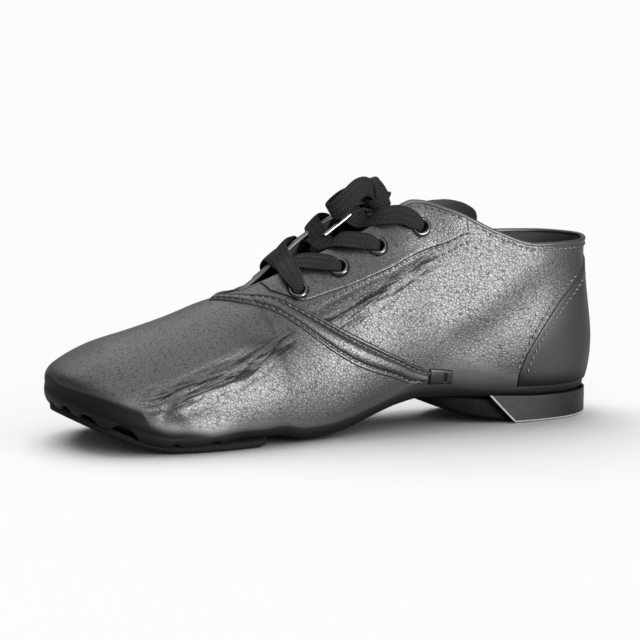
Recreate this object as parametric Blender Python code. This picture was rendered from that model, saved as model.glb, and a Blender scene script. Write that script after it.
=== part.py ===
"""Left jazz boot: a low, split-sole, lace-up dance shoe of soft leather."""

import math
from collections import namedtuple

import bpy
import numpy as np

# Driving sizes, in metres
MM = 0.001
PERCENT = 0.01
LENGTH = 0.248
BALL_WIDTH = 0.082
TOP_HEIGHT = 0.097
WALL = 0.0014
GAP = 0.0004

# The middle of the boot's outline, measured from the heel seat and the centre line
ORIGIN_ALONG = 0.12086
ORIGIN_SIDE = 0.00049

# Feather line, where the side wall turns under the foot
FEATHER_RISE = 0.0045
ARCH_RISE = 0.0060
TURN_WIDTH = 0.007
LASTING_MARGIN = 0.011
ARCH_SEAM = 0.0008

# Soles, heel and insole
SOLE_OUTSET = 0.0006
SOLE_BEVEL = 0.0008
SOLE_NOSE = 0.012
SOLE_POINT = 0.012
COVER_OUTSET = 0.0008
COVER_WALL = 0.0012
COVER_CLEAR = 0.0005
COVER_REACH = 4.5
HEEL_BACK = 1.3
INSOLE_THICK = 0.0018
INSOLE_SHARES = (0.33, -0.2, -1.0)
INSOLE_FRONT = 0.45
INSOLE_BACK = 0.5
INSOLE_LIFT = 0.0026

# Tongue
TONGUE_THICK = 0.0016
TONGUE_ARCH = 0.016
TONGUE_SIDE = 0.0012

# Panels laid on the upper
PANEL_GAP = 0.0006
PANEL_THICK = 0.0007
BAND_THICK = 0.0011
TAB_THICK = 0.0008
COUNTER_ROWS = (0.0, 0.10, 0.30, 0.62, 1.0)

# Eyelets
EYELET_BORE = 0.0025
EYELET_BARREL = 0.0029
EYELET_RIM = 0.0044
EYELET_HOLE = 0.0034
EYELET_REACH = 0.0024
RIM_LIFT = 0.0016
RIM_HEIGHT = 0.0008
EYELET_SEGMENTS = 12

# Laces
LACE_WIDTH = 0.0085
LACE_THICK = 0.0011
LACE_EDGE = 0.6
LACE_LIFT = 0.0035
EDGE_LIFT = 0.0038
LACE_SAG = 0.0022
LEAVE_SPAN = 0.08
EDGE_SPAN = 0.32
HIDDEN_SHARE = 0.22
HIDDEN_DROP = 0.0022
STRAP_STATIONS = 9
CORD_STATIONS = 14
KNOT_SIZE = (0.0065, 0.0050, 0.0036)
KNOT_TURNS = 10
KNOT_RINGS = 6
KNOT_REACH = 0.44

# Facets
FINE_STEP = 0.25
COARSE_STEP = 0.5
MARGIN_SHARES = (-1.0, 0.0, 0.35, 0.65)
WALL_SHARES = (0.0, 0.1, 0.22, 0.36, 0.5, 0.64, 0.77, 0.89, 1.0)
LOFT_STATIONS = 24
OUTLINE_STEPS = 241
COVER_STATIONS = 29
COVER_ROWS = 4
TONGUE_STATIONS = 16
TONGUE_COLUMNS = 8
PANEL_STATIONS = 20
COUNTER_STATIONS = 11
BAND_STATIONS = 21
NUDGE = 0.01

# The ribs run round the boot from the toe, along the outer side, to the heel
# Facing is in degrees from the toe direction; along is a percentage of the length,
# side of the ball width, height and the pulls (out, up, down) of the top height
Rib = namedtuple("Rib", "facing foot_along foot_side top_along top_side top_height "
                        "foot_out foot_up top_out top_down")
TOE_RIB = Rib(0, 98.8, -4.9, 93.9, -4.9, 38.0, 2.1, 9.3, 8.2, 0.0)
LATERAL_RIBS = [
    Rib(38, 96.8, 20.7, 92.3, -4.9, 39.9, 3.1, 12.4, 15.5, 0.0),
    Rib(62, 91.9, 37.8, 89.1, -4.3, 43.3, 3.1, 16.5, 21.6, 0.0),
    Rib(78, 84.7, 47.0, 83.9, -3.7, 47.0, 3.1, 20.6, 24.7, 0.0),
    Rib(87, 76.6, 50.0, 77.0, -2.4, 52.4, 3.1, 24.7, 26.8, 0.0),
    Rib(94, 69.0, 48.8, 71.0, -1.2, 58.1, 4.1, 25.8, 26.8, 0.0),
    Rib(97, 61.3, 45.7, 65.7, 0.0, 61.9, 5.2, 24.7, 24.7, 0.0),
    Rib(97, 54.4, 41.5, 58.9, 7.3, 69.4, 7.2, 24.7, 17.5, 5.2),
    Rib(96, 47.2, 37.8, 50.8, 10.4, 79.0, 8.2, 25.8, 17.5, 8.2),
    Rib(94, 40.3, 35.4, 42.7, 14.0, 88.9, 8.2, 27.8, 14.4, 12.4),
    Rib(92, 34.3, 34.1, 35.5, 17.7, 100.0, 7.2, 28.9, 9.3, 20.6),
    Rib(91, 27.8, 33.5, 29.0, 25.0, 95.2, 6.2, 28.9, 7.2, 22.7),
    Rib(92, 21.0, 33.5, 21.4, 31.1, 85.6, 6.2, 25.8, 5.2, 20.6),
    Rib(98, 13.7, 32.9, 13.7, 32.9, 79.6, 6.2, 22.7, 3.1, 20.6),
    Rib(122, 4.8, 25.0, 4.4, 24.8, 79.4, 6.7, 20.6, 0.0, 18.6),
]
HEEL_RIB = Rib(180, 0.0, 0.0, -0.2, 0.0, 80.2, 7.7, 20.6, -4.6, 16.5)
MEDIAL_RIBS = [
    Rib(322, 96.2, -27.0, 92.3, -4.9, 39.9, 3.1, 12.4, 15.5, 0.0),
    Rib(298, 91.9, -41.5, 89.1, -4.3, 43.3, 3.1, 16.5, 21.6, 0.0),
    Rib(282, 84.7, -48.2, 83.9, -3.7, 47.0, 3.1, 20.6, 24.7, 0.0),
    Rib(272, 76.6, -48.2, 77.0, -2.4, 52.4, 3.1, 24.7, 26.8, 0.0),
    Rib(266, 69.0, -44.5, 71.0, -1.2, 58.1, 4.1, 25.8, 26.8, 0.0),
    Rib(264, 61.3, -39.0, 65.7, 0.0, 61.9, 5.2, 24.7, 22.7, 0.0),
    Rib(264, 54.4, -34.1, 58.9, -6.1, 72.7, 7.2, 24.7, 15.5, 5.2),
    Rib(266, 47.2, -30.5, 52.0, -11.0, 84.8, 8.2, 25.8, 15.5, 8.2),
    Rib(268, 40.3, -29.3, 44.8, -14.6, 94.0, 8.2, 27.8, 12.4, 12.4),
    Rib(270, 34.3, -29.9, 39.1, -17.1, 97.4, 7.2, 28.9, 8.2, 20.6),
    Rib(270, 27.8, -31.1, 31.0, -24.4, 90.2, 6.2, 28.9, 6.2, 22.7),
    Rib(268, 21.0, -32.3, 21.8, -29.9, 83.0, 6.2, 25.8, 4.1, 20.6),
    Rib(262, 13.7, -32.3, 13.7, -31.7, 81.0, 6.2, 22.7, 3.1, 20.6),
    Rib(238, 4.8, -25.0, 4.4, -24.4, 80.8, 6.7, 20.6, 0.0, 18.6),
]
RIBS = [TOE_RIB] + LATERAL_RIBS + [HEEL_RIB] + MEDIAL_RIBS[::-1]
RIB_COUNT = len(RIBS)
HEEL_POSITION = RIB_COUNT // 2
THROAT = 6

# Heights of the seat (under the upper) and of the treads, in percent as above
Level = namedtuple("Level", "along height")
SEAT = [
    Level(0.0, 10.3), Level(12.1, 10.5), Level(23.0, 12.0), Level(30.2, 13.4), Level(35.5, 13.8),
    Level(40.3, 11.8), Level(43.5, 9.3), Level(46.8, 6.3), Level(50.0, 3.5), Level(53.2, 1.6),
    Level(56.0, 0.9), Level(59.0, 1.0), Level(61.0, 2.2), Level(62.6, 3.5), Level(64.5, 4.0),
    Level(82.7, 4.0), Level(88.3, 7.6), Level(92.7, 12.3), Level(97.2, 17.5), Level(100.0, 20.8),
]
FOREFOOT_TREAD = [
    Level(63.2, 0.5), Level(65.0, 0.0), Level(82.5, 0.0),
    Level(88.3, 3.8), Level(92.7, 8.4), Level(97.2, 13.6), Level(100.0, 16.9),
]
REAR_TREAD = [
    Level(0.0, 0.0), Level(17.0, 0.0), Level(23.0, 2.2), Level(27.8, 5.2),
    Level(31.5, 8.2), Level(35.0, 12.6),
]
# How far the lasting margin closes across the arch, from none to all
Closing = namedtuple("Closing", "along share")
ARCH_CLOSING = [Closing(25.0, 0.0), Closing(33.0, 1.0), Closing(59.5, 1.0), Closing(66.5, 0.0)]
# Half widths of the shank in front of the heel, as percentages of the ball width
Shank = namedtuple("Shank", "along half")
SHANK = [
    Shank(18.0, 29.8), Shank(23.5, 28.0), Shank(28.0, 24.0), Shank(32.0, 17.0),
    Shank(34.2, 10.0), Shank(35.2, 2.5),
]
# The breast of the heel leans forward from the floor to the seat
BREAST_FOOT = 18.2
BREAST_TOP = 23.2
# The tongue's middle line, from under the vamp to its loose top
Spine = namedtuple("Spine", "along height half")
TONGUE = [
    Spine(70.0, 54.0, 20.0), Spine(64.5, 59.0, 22.0), Spine(58.9, 65.0, 23.4), Spine(50.8, 74.8, 23.4),
    Spine(42.7, 84.6, 23.0), Spine(36.3, 92.6, 22.8), Spine(31.5, 96.6, 22.8), Spine(27.2, 97.4, 22.4),
    Spine(23.8, 95.8, 21.0), Spine(21.4, 91.4, 17.0),
]

# Places on the upper: rib position and share of the way up that rib
Place = namedtuple("Place", "position share")
EYELETS = [Place(7.10, 0.785), Place(8.03, 0.815), Place(8.93, 0.835), Place(10.05, 0.835)]
# Lower edge of the lacing panel, from the vamp band to the collar
Edge = namedtuple("Edge", "position low high")
EYESTAY = [
    Edge(6.52, 0.860, 0.982), Edge(6.80, 0.775, 0.982), Edge(7.10, 0.705, 0.982), Edge(7.58, 0.695, 0.982),
    Edge(8.22, 0.675, 0.982), Edge(8.97, 0.670, 0.982), Edge(9.68, 0.675, 0.982), Edge(10.50, 0.755, 0.982),
    Edge(11.30, 0.900, 0.982),
]
# Upper edge of the heel counter, from the outer side to the middle of the heel
COUNTER = [
    Edge(12.45, 0.015, 0.085), Edge(12.60, 0.015, 0.215), Edge(12.85, 0.015, 0.350), Edge(13.10, 0.015, 0.470),
    Edge(13.45, 0.015, 0.620), Edge(13.90, 0.015, 0.735), Edge(14.43, 0.015, 0.840), Edge(15.00, 0.015, 0.880),
]
# Both edges of the vamp band, from the ridge down to the arch
Strip = namedtuple("Strip", "top_position top_share low_position low_share")
BAND = [
    Strip(5.48, 1.000, 5.05, 1.000), Strip(6.00, 0.900, 5.62, 0.825), Strip(6.50, 0.805, 6.15, 0.715),
    Strip(7.00, 0.665, 6.65, 0.575), Strip(7.62, 0.480, 7.40, 0.350), Strip(8.20, 0.335, 8.05, 0.205),
    Strip(8.80, 0.210, 8.75, 0.095), Strip(9.45, 0.115, 9.25, 0.030), Strip(9.95, 0.065, 9.65, 0.015),
]
TAB = [Edge(10.08, 0.012, 0.066), Edge(10.35, 0.012, 0.062), Edge(10.62, 0.012, 0.056)]
# The bow: places along its cords, in percent of length, ball width and top height
Cord = namedtuple("Cord", "along side height")
KNOT = Cord(39.2, 1.2, 97.6)
LOOP_INNER = [
    Cord(42.2, 5.1, 106.0), Cord(43.8, 7.1, 106.4), Cord(45.6, 8.3, 103.0), Cord(47.1, 7.8, 99.2),
    Cord(48.2, 5.4, 96.3), Cord(48.7, 1.7, 95.1), Cord(48.1, -2.0, 95.7), Cord(46.6, -3.4, 98.4),
    Cord(44.4, -4.4, 101.4), Cord(42.6, -3.7, 102.8),
]
LOOP_OUTER = [
    Cord(40.4, 2.0, 102.7), Cord(40.9, 2.4, 106.2), Cord(40.8, 2.6, 108.6), Cord(40.4, 2.7, 109.5),
    Cord(39.9, 3.0, 107.6), Cord(39.4, 3.5, 104.6), Cord(39.0, 3.9, 101.6),
]
END_FRONT = [
    Cord(42.4, 2.4, 97.6), Cord(43.7, 3.4, 97.2), Cord(45.6, 5.0, 94.6), Cord(48.0, 5.5, 89.9),
    Cord(50.6, 5.5, 86.0),
]
END_INNER = [
    Cord(38.6, -7.4, 99.0), Cord(37.4, -12.9, 101.4), Cord(36.1, -18.5, 100.7), Cord(35.4, -23.1, 96.0),
    Cord(34.8, -25.2, 90.6), Cord(34.3, -27.3, 84.9), Cord(33.8, -29.3, 79.2), Cord(33.3, -31.3, 73.4),
]


def remove_scene_objects():
    for item in list(bpy.data.objects):
        bpy.data.objects.remove(item, do_unlink=True)


def blend_slopes(knots, values):
    """Slopes that never overshoot the values between two knots."""
    step = np.diff(knots)
    rise = np.diff(values, axis=0) / step[:, None]
    slopes = np.zeros_like(values)
    slopes[0] = rise[0]
    slopes[-1] = rise[-1]
    for i in range(1, len(knots) - 1):
        before = 2 * step[i] + step[i - 1]
        after = step[i] + 2 * step[i - 1]
        for column in range(values.shape[1]):
            low = rise[i - 1, column]
            high = rise[i, column]
            if low * high > 0:
                slopes[i, column] = (before + after) / (before / low + after / high)
    return slopes


def hermite(values, slopes, first, second, step, share):
    """Cubic between two rows of values with the given end slopes."""
    t = share[:, None]
    h = step[:, None]
    start = (1 + 2 * t) * (1 - t) ** 2 * values[first] + t * (1 - t) ** 2 * h * slopes[first]
    end = t * t * (3 - 2 * t) * values[second] + t * t * (t - 1) * h * slopes[second]
    return start + end


def smooth(knots, values, at):
    """Values between knots, on a curve that keeps to their rises and falls."""
    knots = np.asarray(knots, float)
    values = np.asarray(values, float)
    at = np.clip(np.atleast_1d(np.asarray(at, float)), knots[0], knots[-1])
    first = np.clip(np.searchsorted(knots, at, side="right") - 1, 0, len(knots) - 2)
    step = knots[first + 1] - knots[first]
    share = (at - knots[first]) / step
    return hermite(values, blend_slopes(knots, values), first, first + 1, step, share)


def round_spline(values, at):
    """Smooth closed curve through evenly spaced rows."""
    values = np.asarray(values, float)
    count = len(values)
    matrix = 4 * np.eye(count) + np.roll(np.eye(count), 1, 0) + np.roll(np.eye(count), -1, 0)
    slopes = np.linalg.solve(matrix, 3 * (np.roll(values, -1, 0) - np.roll(values, 1, 0)))
    at = np.mod(at, count)
    first = np.floor(at).astype(int) % count
    return hermite(values, slopes, first, (first + 1) % count, np.ones_like(at), at - np.floor(at))


def level(table, along):
    """Height of a table of levels at distances from the heel seat."""
    rows = np.array(table, float) * PERCENT
    return smooth(rows[:, 0] * LENGTH, rows[:, 1:] * TOP_HEIGHT, along)[:, 0]


def seat(along):
    return level(SEAT, along)


def arch_share(along):
    rows = np.array(ARCH_CLOSING, float)
    return smooth(rows[:, 0] * PERCENT * LENGTH, rows[:, 1:], along)[:, 0]


def rib_rows():
    """Foot places, top places and pulls of the named ribs, in metres."""
    rows = np.array(RIBS, float)
    plan = np.array([LENGTH, BALL_WIDTH]) * PERCENT
    foot = rows[:, 1:3] * plan
    top = np.column_stack([rows[:, 3:5] * plan, rows[:, 5] * TOP_HEIGHT * PERCENT])
    pulls = rows[:, 6:10] * TOP_HEIGHT * PERCENT
    return rows[:, 0], foot, top, pulls


def ridge_and_edge(position, top):
    """Top of each rib: the vamp's ridge, shared by both sides, then the open edge."""
    around = np.mod(position, RIB_COUNT)
    from_toe = np.minimum(around, RIB_COUNT - around)
    on_ridge = from_toe <= THROAT
    knots = np.arange(THROAT + 1.0)
    ridge = smooth(knots, top[:THROAT + 1], from_toe)
    behind = smooth(knots, top[:THROAT + 1], from_toe + NUDGE)
    ahead = smooth(knots, top[:THROAT + 1], from_toe - NUDGE)
    run = behind - ahead
    slope = run[:, 2] / np.minimum(run[:, 0], -1e-9)
    edge_rows = top[THROAT:RIB_COUNT - THROAT + 1]
    edge = smooth(np.arange(len(edge_rows)), edge_rows, around - THROAT)
    return np.where(on_ridge[:, None], ridge, edge), np.where(on_ridge, slope, 0.0), on_ridge


def rib_parts(position):
    """Foot, direction, top and handles of ribs at any positions round the boot."""
    position = np.atleast_1d(np.asarray(position, float))
    facing, foot, top, pulls = rib_rows()
    turn = 360.0 / RIB_COUNT
    steady = facing - turn * np.arange(RIB_COUNT)
    angle = round_spline(steady[:, None], position)[:, 0] + turn * np.mod(position, RIB_COUNT)
    angle = np.radians(angle)
    outward = np.column_stack([np.cos(angle), np.sin(angle)])
    place = round_spline(foot, position)
    pull = round_spline(pulls, position)
    crest, slope, on_ridge = ridge_and_edge(position, top)
    rise = FEATHER_RISE + (ARCH_RISE - FEATHER_RISE) * arch_share(place[:, 0])
    low = np.column_stack([place, seat(place[:, 0]) + rise])
    low_handle = low + np.column_stack([outward * pull[:, :1], pull[:, 1]])
    fall = np.where(on_ridge, -slope * outward[:, 0] * pull[:, 2], pull[:, 3])
    crest_handle = crest + np.column_stack([outward * pull[:, 2:3], -fall])
    return low, low_handle, crest_handle, crest, outward


def skin(position, share):
    """Points of the outer face: rib position and share of the way up the rib."""
    position, share = np.broadcast_arrays(np.asarray(position, float), np.asarray(share, float))
    low, low_handle, crest_handle, crest, outward = rib_parts(position.ravel())
    t = share.ravel()[:, None]
    near = (1 - t) ** 3 * low + 3 * (1 - t) ** 2 * t * low_handle
    far = 3 * (1 - t) * t * t * crest_handle + t ** 3 * crest
    return (near + far).reshape(position.shape + (3,))


def skin_normal(position, share):
    """Outward direction of the outer face."""
    share = np.clip(share, NUDGE, 1 - NUDGE)
    along = skin(position + NUDGE, share) - skin(position - NUDGE, share)
    up = skin(position, share + NUDGE) - skin(position, share - NUDGE)
    normal = np.cross(along, up)
    return normal / np.linalg.norm(normal, axis=-1, keepdims=True)


def lifted(position, share, lift):
    """Points a little outside the outer face."""
    return skin(position, share) + skin_normal(position, share) * lift


def margin(position, share):
    """Points under the foot: -1 at the margin's inner edge, 0 where the turn starts, 1 at the feather line."""
    position = np.atleast_1d(np.asarray(position, float))
    low, low_handle, crest_handle, crest, outward = rib_parts(position)
    other = rib_parts(RIB_COUNT - position)[0]
    half = np.abs(low[:, 1] - other[:, 1]) / 2 - ARCH_SEAM
    width = LASTING_MARGIN + arch_share(low[:, 0]) * (half - LASTING_MARGIN)
    reach = TURN_WIDTH + (width - TURN_WIDTH) * max(-share, 0.0)
    flat = low[:, :2] - outward * reach[:, None]
    flat = np.column_stack([flat, seat(flat[:, 0])])
    corner = np.column_stack([low[:, :2], seat(low[:, 0])])
    w = max(share, 0.0)
    return (1 - w) ** 2 * flat + 2 * w * (1 - w) * corner + w * w * low


def outline(along, inset):
    """Outer and inner side of the feather outline at distances from the heel seat."""
    outer = rib_parts(np.linspace(0, HEEL_POSITION, OUTLINE_STEPS))[0]
    inner = rib_parts(np.linspace(RIB_COUNT, HEEL_POSITION, OUTLINE_STEPS))[0]
    shrink = 1 - 2 * inset / LENGTH
    centre = LENGTH / 2
    stretched = (np.asarray(along, float) - centre) / shrink + centre
    lateral = np.interp(stretched, outer[::-1, 0], outer[::-1, 1]) - inset
    medial = np.interp(stretched, inner[::-1, 0], inner[::-1, 1]) + inset
    middle = (lateral + medial) / 2
    return np.maximum(lateral, middle + inset), np.minimum(medial, middle - inset)


def centred(points):
    """From distances off the heel seat to the frame of the whole boot."""
    return np.asarray(points, float) - np.array([ORIGIN_ALONG, ORIGIN_SIDE, 0.0])


def leather(name, colour, roughness, metallic=0.0):
    material = bpy.data.materials.new(name)
    material.use_nodes = True
    shader = material.node_tree.nodes["Principled BSDF"]
    shader.inputs["Base Color"].default_value = colour + (1.0,)
    shader.inputs["Roughness"].default_value = roughness
    shader.inputs["Metallic"].default_value = metallic
    material.diffuse_color = colour + (1.0,)
    return material


def facing_out(points, faces):
    """The same faces, turned over when they enclose a negative volume."""
    volume = 0.0
    for face in faces:
        for second, third in zip(face[1:], face[2:]):
            volume += np.dot(points[face[0]], np.cross(points[second], points[third]))
    return faces if volume > 0 else [face[::-1] for face in faces]


def solid(name, points, faces, material):
    faces = facing_out(points, faces)
    mesh = bpy.data.meshes.new(name)
    mesh.from_pydata(centred(points).tolist(), [], faces)
    mesh.materials.append(material)
    mesh.update()
    item = bpy.data.objects.new(name, mesh)
    bpy.context.scene.collection.objects.link(item)
    return item


def face_normals(points, faces):
    """Outward direction at each point, from the faces round it."""
    total = np.zeros_like(points)
    for face in faces:
        corner = points[list(face)]
        area = np.cross(corner[2] - corner[0], corner[-1] - corner[1])
        for index in face:
            total[index] += area
    return total / np.linalg.norm(total, axis=1, keepdims=True)


def border(faces):
    """Edges that only one face has, in the direction of that face."""
    seen = {}
    for face in faces:
        for a, b in zip(face, face[1:] + face[:1]):
            seen[(a, b)] = True
    return [pair for pair in seen if pair[::-1] not in seen]


def shell(name, points, faces, thickness, material):
    """Solid between a sheet of faces and the same sheet moved inwards."""
    normals = face_normals(points, faces)
    inner = points - normals * thickness
    count = len(points)
    back = [tuple(index + count for index in face[::-1]) for face in faces]
    rim = [(b, a, a + count, b + count) for a, b in border(faces)]
    return solid(name, np.vstack([points, inner]), faces + back + rim, material)


def loft(name, loops, material):
    """Solid through a row of closed loops with the same number of points."""
    count = len(loops[0])
    faces = []
    for row in range(len(loops) - 1):
        for i in range(count):
            j = (i + 1) % count
            faces.append((row * count + i, row * count + j, (row + 1) * count + j, (row + 1) * count + i))
    last = (len(loops) - 1) * count
    faces.append(tuple(range(count))[::-1])
    faces.append(tuple(range(last, last + count)))
    return solid(name, np.vstack(loops), faces, material)


def rib_positions():
    """Positions of the mesh's ribs: close round the toe and heel, wider between."""
    toe = np.arange(0, 2, FINE_STEP)
    side = np.arange(2, HEEL_POSITION - 2, COARSE_STEP)
    heel = np.arange(HEEL_POSITION - 2, HEEL_POSITION, FINE_STEP)
    half = np.concatenate([toe, side, heel])
    return np.concatenate([half, [HEEL_POSITION], RIB_COUNT - half[:0:-1]])


def build_upper(material):
    """Hollow upper: margin under the foot, side walls, vamp, open collar and throat."""
    positions = rib_positions()
    levels = [margin(positions, w) for w in MARGIN_SHARES]
    levels += [skin(positions, t) for t in WALL_SHARES]
    grid = np.stack(levels, axis=1)
    ribs, rows = grid.shape[:2]
    index = np.arange(ribs * rows).reshape(ribs, rows)
    ridge = np.flatnonzero((positions > 0) & (positions <= THROAT))
    index[ribs - ridge, -1] = index[ridge, -1]
    used, flat = np.unique(index, return_inverse=True)
    index = flat.reshape(ribs, rows)
    points = grid.reshape(-1, 3)[used]
    faces = []
    for i in range(ribs):
        j = (i + 1) % ribs
        for row in range(rows - 1):
            ring = [index[i, row], index[j, row], index[j, row + 1], index[i, row + 1]]
            face = tuple(int(v) for v in dict.fromkeys(ring))
            faces.append(face)
    return shell("upper", points, faces, WALL, material)


def sole_loop(along, lateral, medial, under, top):
    """One cross-section of a flat sole with bevelled edges."""
    bevel = min(SOLE_BEVEL, (top - under) / 3, (lateral - medial) / 5)
    middle = (lateral + medial) / 2
    ring = [
        (lateral - bevel, under), (lateral, under + bevel), (lateral, top - bevel / 2), (lateral - bevel, top),
        (middle, top), (medial + bevel, top), (medial, top - bevel / 2), (medial, under + bevel),
        (medial + bevel, under), (middle, under),
    ]
    return np.array([(along, y, z) for y, z in ring])


def eased(start, end, count):
    """Stations that gather towards both ends."""
    turn = np.linspace(0, math.pi, count)
    return start + (end - start) * (1 - np.cos(turn)) / 2


def build_forefoot_sole(material):
    start = FOREFOOT_TREAD[0].along * PERCENT * LENGTH
    end = rib_parts(0)[0][0, 0] + SOLE_OUTSET
    stations = eased(start, end, LOFT_STATIONS)
    lateral, medial = outline(stations, -SOLE_OUTSET)
    middle = (lateral + medial) / 2
    narrowing = np.sqrt(1 - (1 - np.clip((stations - start) / SOLE_NOSE, SOLE_POINT, 1)) ** 2)
    lateral = middle + (lateral - middle) * narrowing
    medial = middle + (medial - middle) * narrowing
    under = level(FOREFOOT_TREAD, stations)
    top = seat(stations) - GAP
    loops = [sole_loop(*row) for row in zip(stations, lateral, medial, under, top)]
    return loft("forefoot_sole", loops, material)


def build_rear_sole(material):
    inset = COVER_WALL + GAP - COVER_OUTSET
    back = rib_parts(HEEL_POSITION)[0][0, 0] + HEEL_BACK * inset
    stations = eased(back, SHANK[-1].along * PERCENT * LENGTH, LOFT_STATIONS)
    lateral, medial = outline(stations, inset)
    rows = np.array(SHANK, float) * PERCENT
    half = smooth(rows[:, 0] * LENGTH, rows[:, 1:] * BALL_WIDTH, stations)[:, 0]
    under = level(REAR_TREAD, stations)
    top = seat(stations) - GAP
    under = np.minimum(under, top - GAP)
    loops = []
    for row in zip(stations, np.minimum(lateral, half), np.maximum(medial, -half), under, top):
        loops.append(sole_loop(*row))
    return loft("rear_sole", loops, material)


def heel_path(inset, along):
    """Heel outline from the outer breast, round the back, to the inner breast."""
    dense = np.linspace(HEEL_POSITION - COVER_REACH, HEEL_POSITION + COVER_REACH, 3 * OUTLINE_STEPS)
    low, low_handle, crest_handle, crest, outward = rib_parts(dense)
    track = low[:, :2] - outward * inset
    reach = np.flatnonzero(track[:, 0] <= along)
    track = track[reach[0]:reach[-1] + 1]
    run = np.concatenate([[0], np.cumsum(np.linalg.norm(np.diff(track, axis=0), axis=1))])
    at = np.linspace(0, run[-1], COVER_STATIONS)
    return np.column_stack([np.interp(at, run, track[:, 0]), np.interp(at, run, track[:, 1])])


def build_heel_cover(material):
    """Wrapped cover round the heel with a leaning front edge on both sides."""
    outer = []
    inner = []
    for share in np.linspace(0, 1, COVER_ROWS):
        breast = (BREAST_FOOT + (BREAST_TOP - BREAST_FOOT) * share) * PERCENT * LENGTH
        for inset, side in ((-COVER_OUTSET, outer), (COVER_WALL - COVER_OUTSET, inner)):
            path = heel_path(inset, breast)
            top = seat(path[:, 0]) - GAP
            height = COVER_CLEAR + (top - COVER_CLEAR) * share
            side.append(np.column_stack([path, height]))
    loops = []
    for i in range(COVER_STATIONS):
        up = [row[i] for row in outer]
        down = [row[i] for row in inner[::-1]]
        loops.append(np.array(up + down))
    return loft("heel_cover", loops, material)


def build_insole(material):
    """Sock lining board that lies in the cup of the turned-under margin."""
    loops = []
    for position in eased(INSOLE_FRONT, HEEL_POSITION - INSOLE_BACK, LOFT_STATIONS):
        outer = [margin(position, w)[0] for w in INSOLE_SHARES]
        inner = [margin(RIB_COUNT - position, w)[0] for w in INSOLE_SHARES[::-1]]
        under = np.array(outer + inner) + np.array([0, 0, INSOLE_LIFT])
        top = under[::-1] + np.array([0, 0, INSOLE_THICK])
        loops.append(np.vstack([under, top]))
    return loft("insole", loops, material)


def tongue_points(shares, across, lift):
    """Points of the tongue: share along its middle line and across its width."""
    rows = np.array(TONGUE, float) * PERCENT
    spine = np.column_stack([rows[:, 0] * LENGTH, rows[:, 1] * TOP_HEIGHT, rows[:, 2] * BALL_WIDTH])
    run = np.concatenate([[0], np.cumsum(np.linalg.norm(np.diff(spine[:, :2], axis=0), axis=1))])
    run /= run[-1]
    place = smooth(run, spine, shares)
    ahead = smooth(run, spine, np.clip(np.asarray(shares) + NUDGE, 0, 1))
    behind = smooth(run, spine, np.clip(np.asarray(shares) - NUDGE, 0, 1))
    way = (ahead - behind)[:, :2]
    way /= np.linalg.norm(way, axis=1, keepdims=True)
    up = np.column_stack([way[:, 1], -way[:, 0]])
    lines = []
    for v in across:
        rise = lift - TONGUE_ARCH * v * v
        lines.append(np.column_stack([
            place[:, 0] + up[:, 0] * rise, TONGUE_SIDE + place[:, 2] * v, place[:, 1] + up[:, 1] * rise]))
    return np.stack(lines, axis=1)


def build_tongue(material):
    shares = np.linspace(0, 1, TONGUE_STATIONS)
    across = np.linspace(1, -1, TONGUE_COLUMNS)
    under = tongue_points(shares, across, 0.0)
    over = tongue_points(shares, across, TONGUE_THICK)
    loops = [np.vstack([low, high[::-1]]) for low, high in zip(under, over)]
    return loft("tongue", loops, material)


def panel(name, edges, mirrored, thickness, material, rows=2, steps=PANEL_STATIONS):
    """Thin panel on the upper between two edges given rib by rib."""
    table = np.array(edges, float)
    positions = np.linspace(table[0, 0], table[-1, 0], steps)
    limits = smooth(table[:, 0], table[:, 1:], positions)
    shares = np.linspace(limits[:, 0], limits[:, 1], rows + 1, axis=1)
    around = RIB_COUNT - positions if mirrored else positions
    return laid_on(name, np.broadcast_to(around[:, None], shares.shape), shares, thickness, material)


def laid_on(name, positions, shares, thickness, material):
    """Thin solid a hair's breadth above the upper, from a grid of places."""
    rows, columns = shares.shape
    points = lifted(positions, shares, PANEL_GAP + thickness).reshape(-1, 3)
    faces = []
    for i in range(rows - 1):
        for j in range(columns - 1):
            start = i * columns + j
            faces.append((start, start + columns, start + columns + 1, start + 1))
    outward = skin_normal(positions, shares).reshape(-1, 3)
    if np.sum(face_normals(points, faces) * outward) < 0:
        faces = [face[::-1] for face in faces]
    return shell(name, points, faces, thickness, material)


def build_counter(material):
    """Heel counter, from the outer seam round the back to the inner seam."""
    table = np.array(COUNTER, float)
    side = np.linspace(table[0, 0], table[-1, 0], COUNTER_STATIONS)
    limits = smooth(table[:, 0], table[:, 1:], side)
    positions = np.concatenate([side, RIB_COUNT - side[-2::-1]])
    limits = np.vstack([limits, limits[-2::-1]])
    shares = limits[:, :1] + (limits[:, 1:] - limits[:, :1]) * np.array(COUNTER_ROWS)
    return laid_on("heel_counter", np.broadcast_to(positions[:, None], shares.shape), shares, PANEL_THICK, material)


def build_band(material):
    """Folded band along the vamp's edge, from arch to arch over the ridge."""
    table = np.array(BAND, float)
    knots = np.arange(len(table))
    track = smooth(knots, table, np.linspace(0, knots[-1], BAND_STATIONS))
    across = np.linspace(0, 1, 3)
    positions = track[:, 0:1] + (track[:, 2:3] - track[:, 0:1]) * across
    shares = track[:, 1:2] + (track[:, 3:4] - track[:, 1:2]) * across
    positions = np.vstack([positions[::-1], RIB_COUNT - positions[1:]])
    shares = np.vstack([shares[::-1], shares[1:]])
    return laid_on("vamp_band", positions, shares, BAND_THICK, material)


def eyelet_place(index, mirrored):
    """Middle of an eyelet on the outer face, with its outward direction."""
    spot = EYELETS[index]
    position = np.array(RIB_COUNT - spot.position if mirrored else spot.position)
    share = np.array(spot.share)
    return skin(position, share), skin_normal(position, share)


def ring_frame(axis):
    side = np.cross(axis, np.array([1.0, 0.0, 0.0]))
    side /= np.linalg.norm(side)
    return side, np.cross(axis, side)


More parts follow.
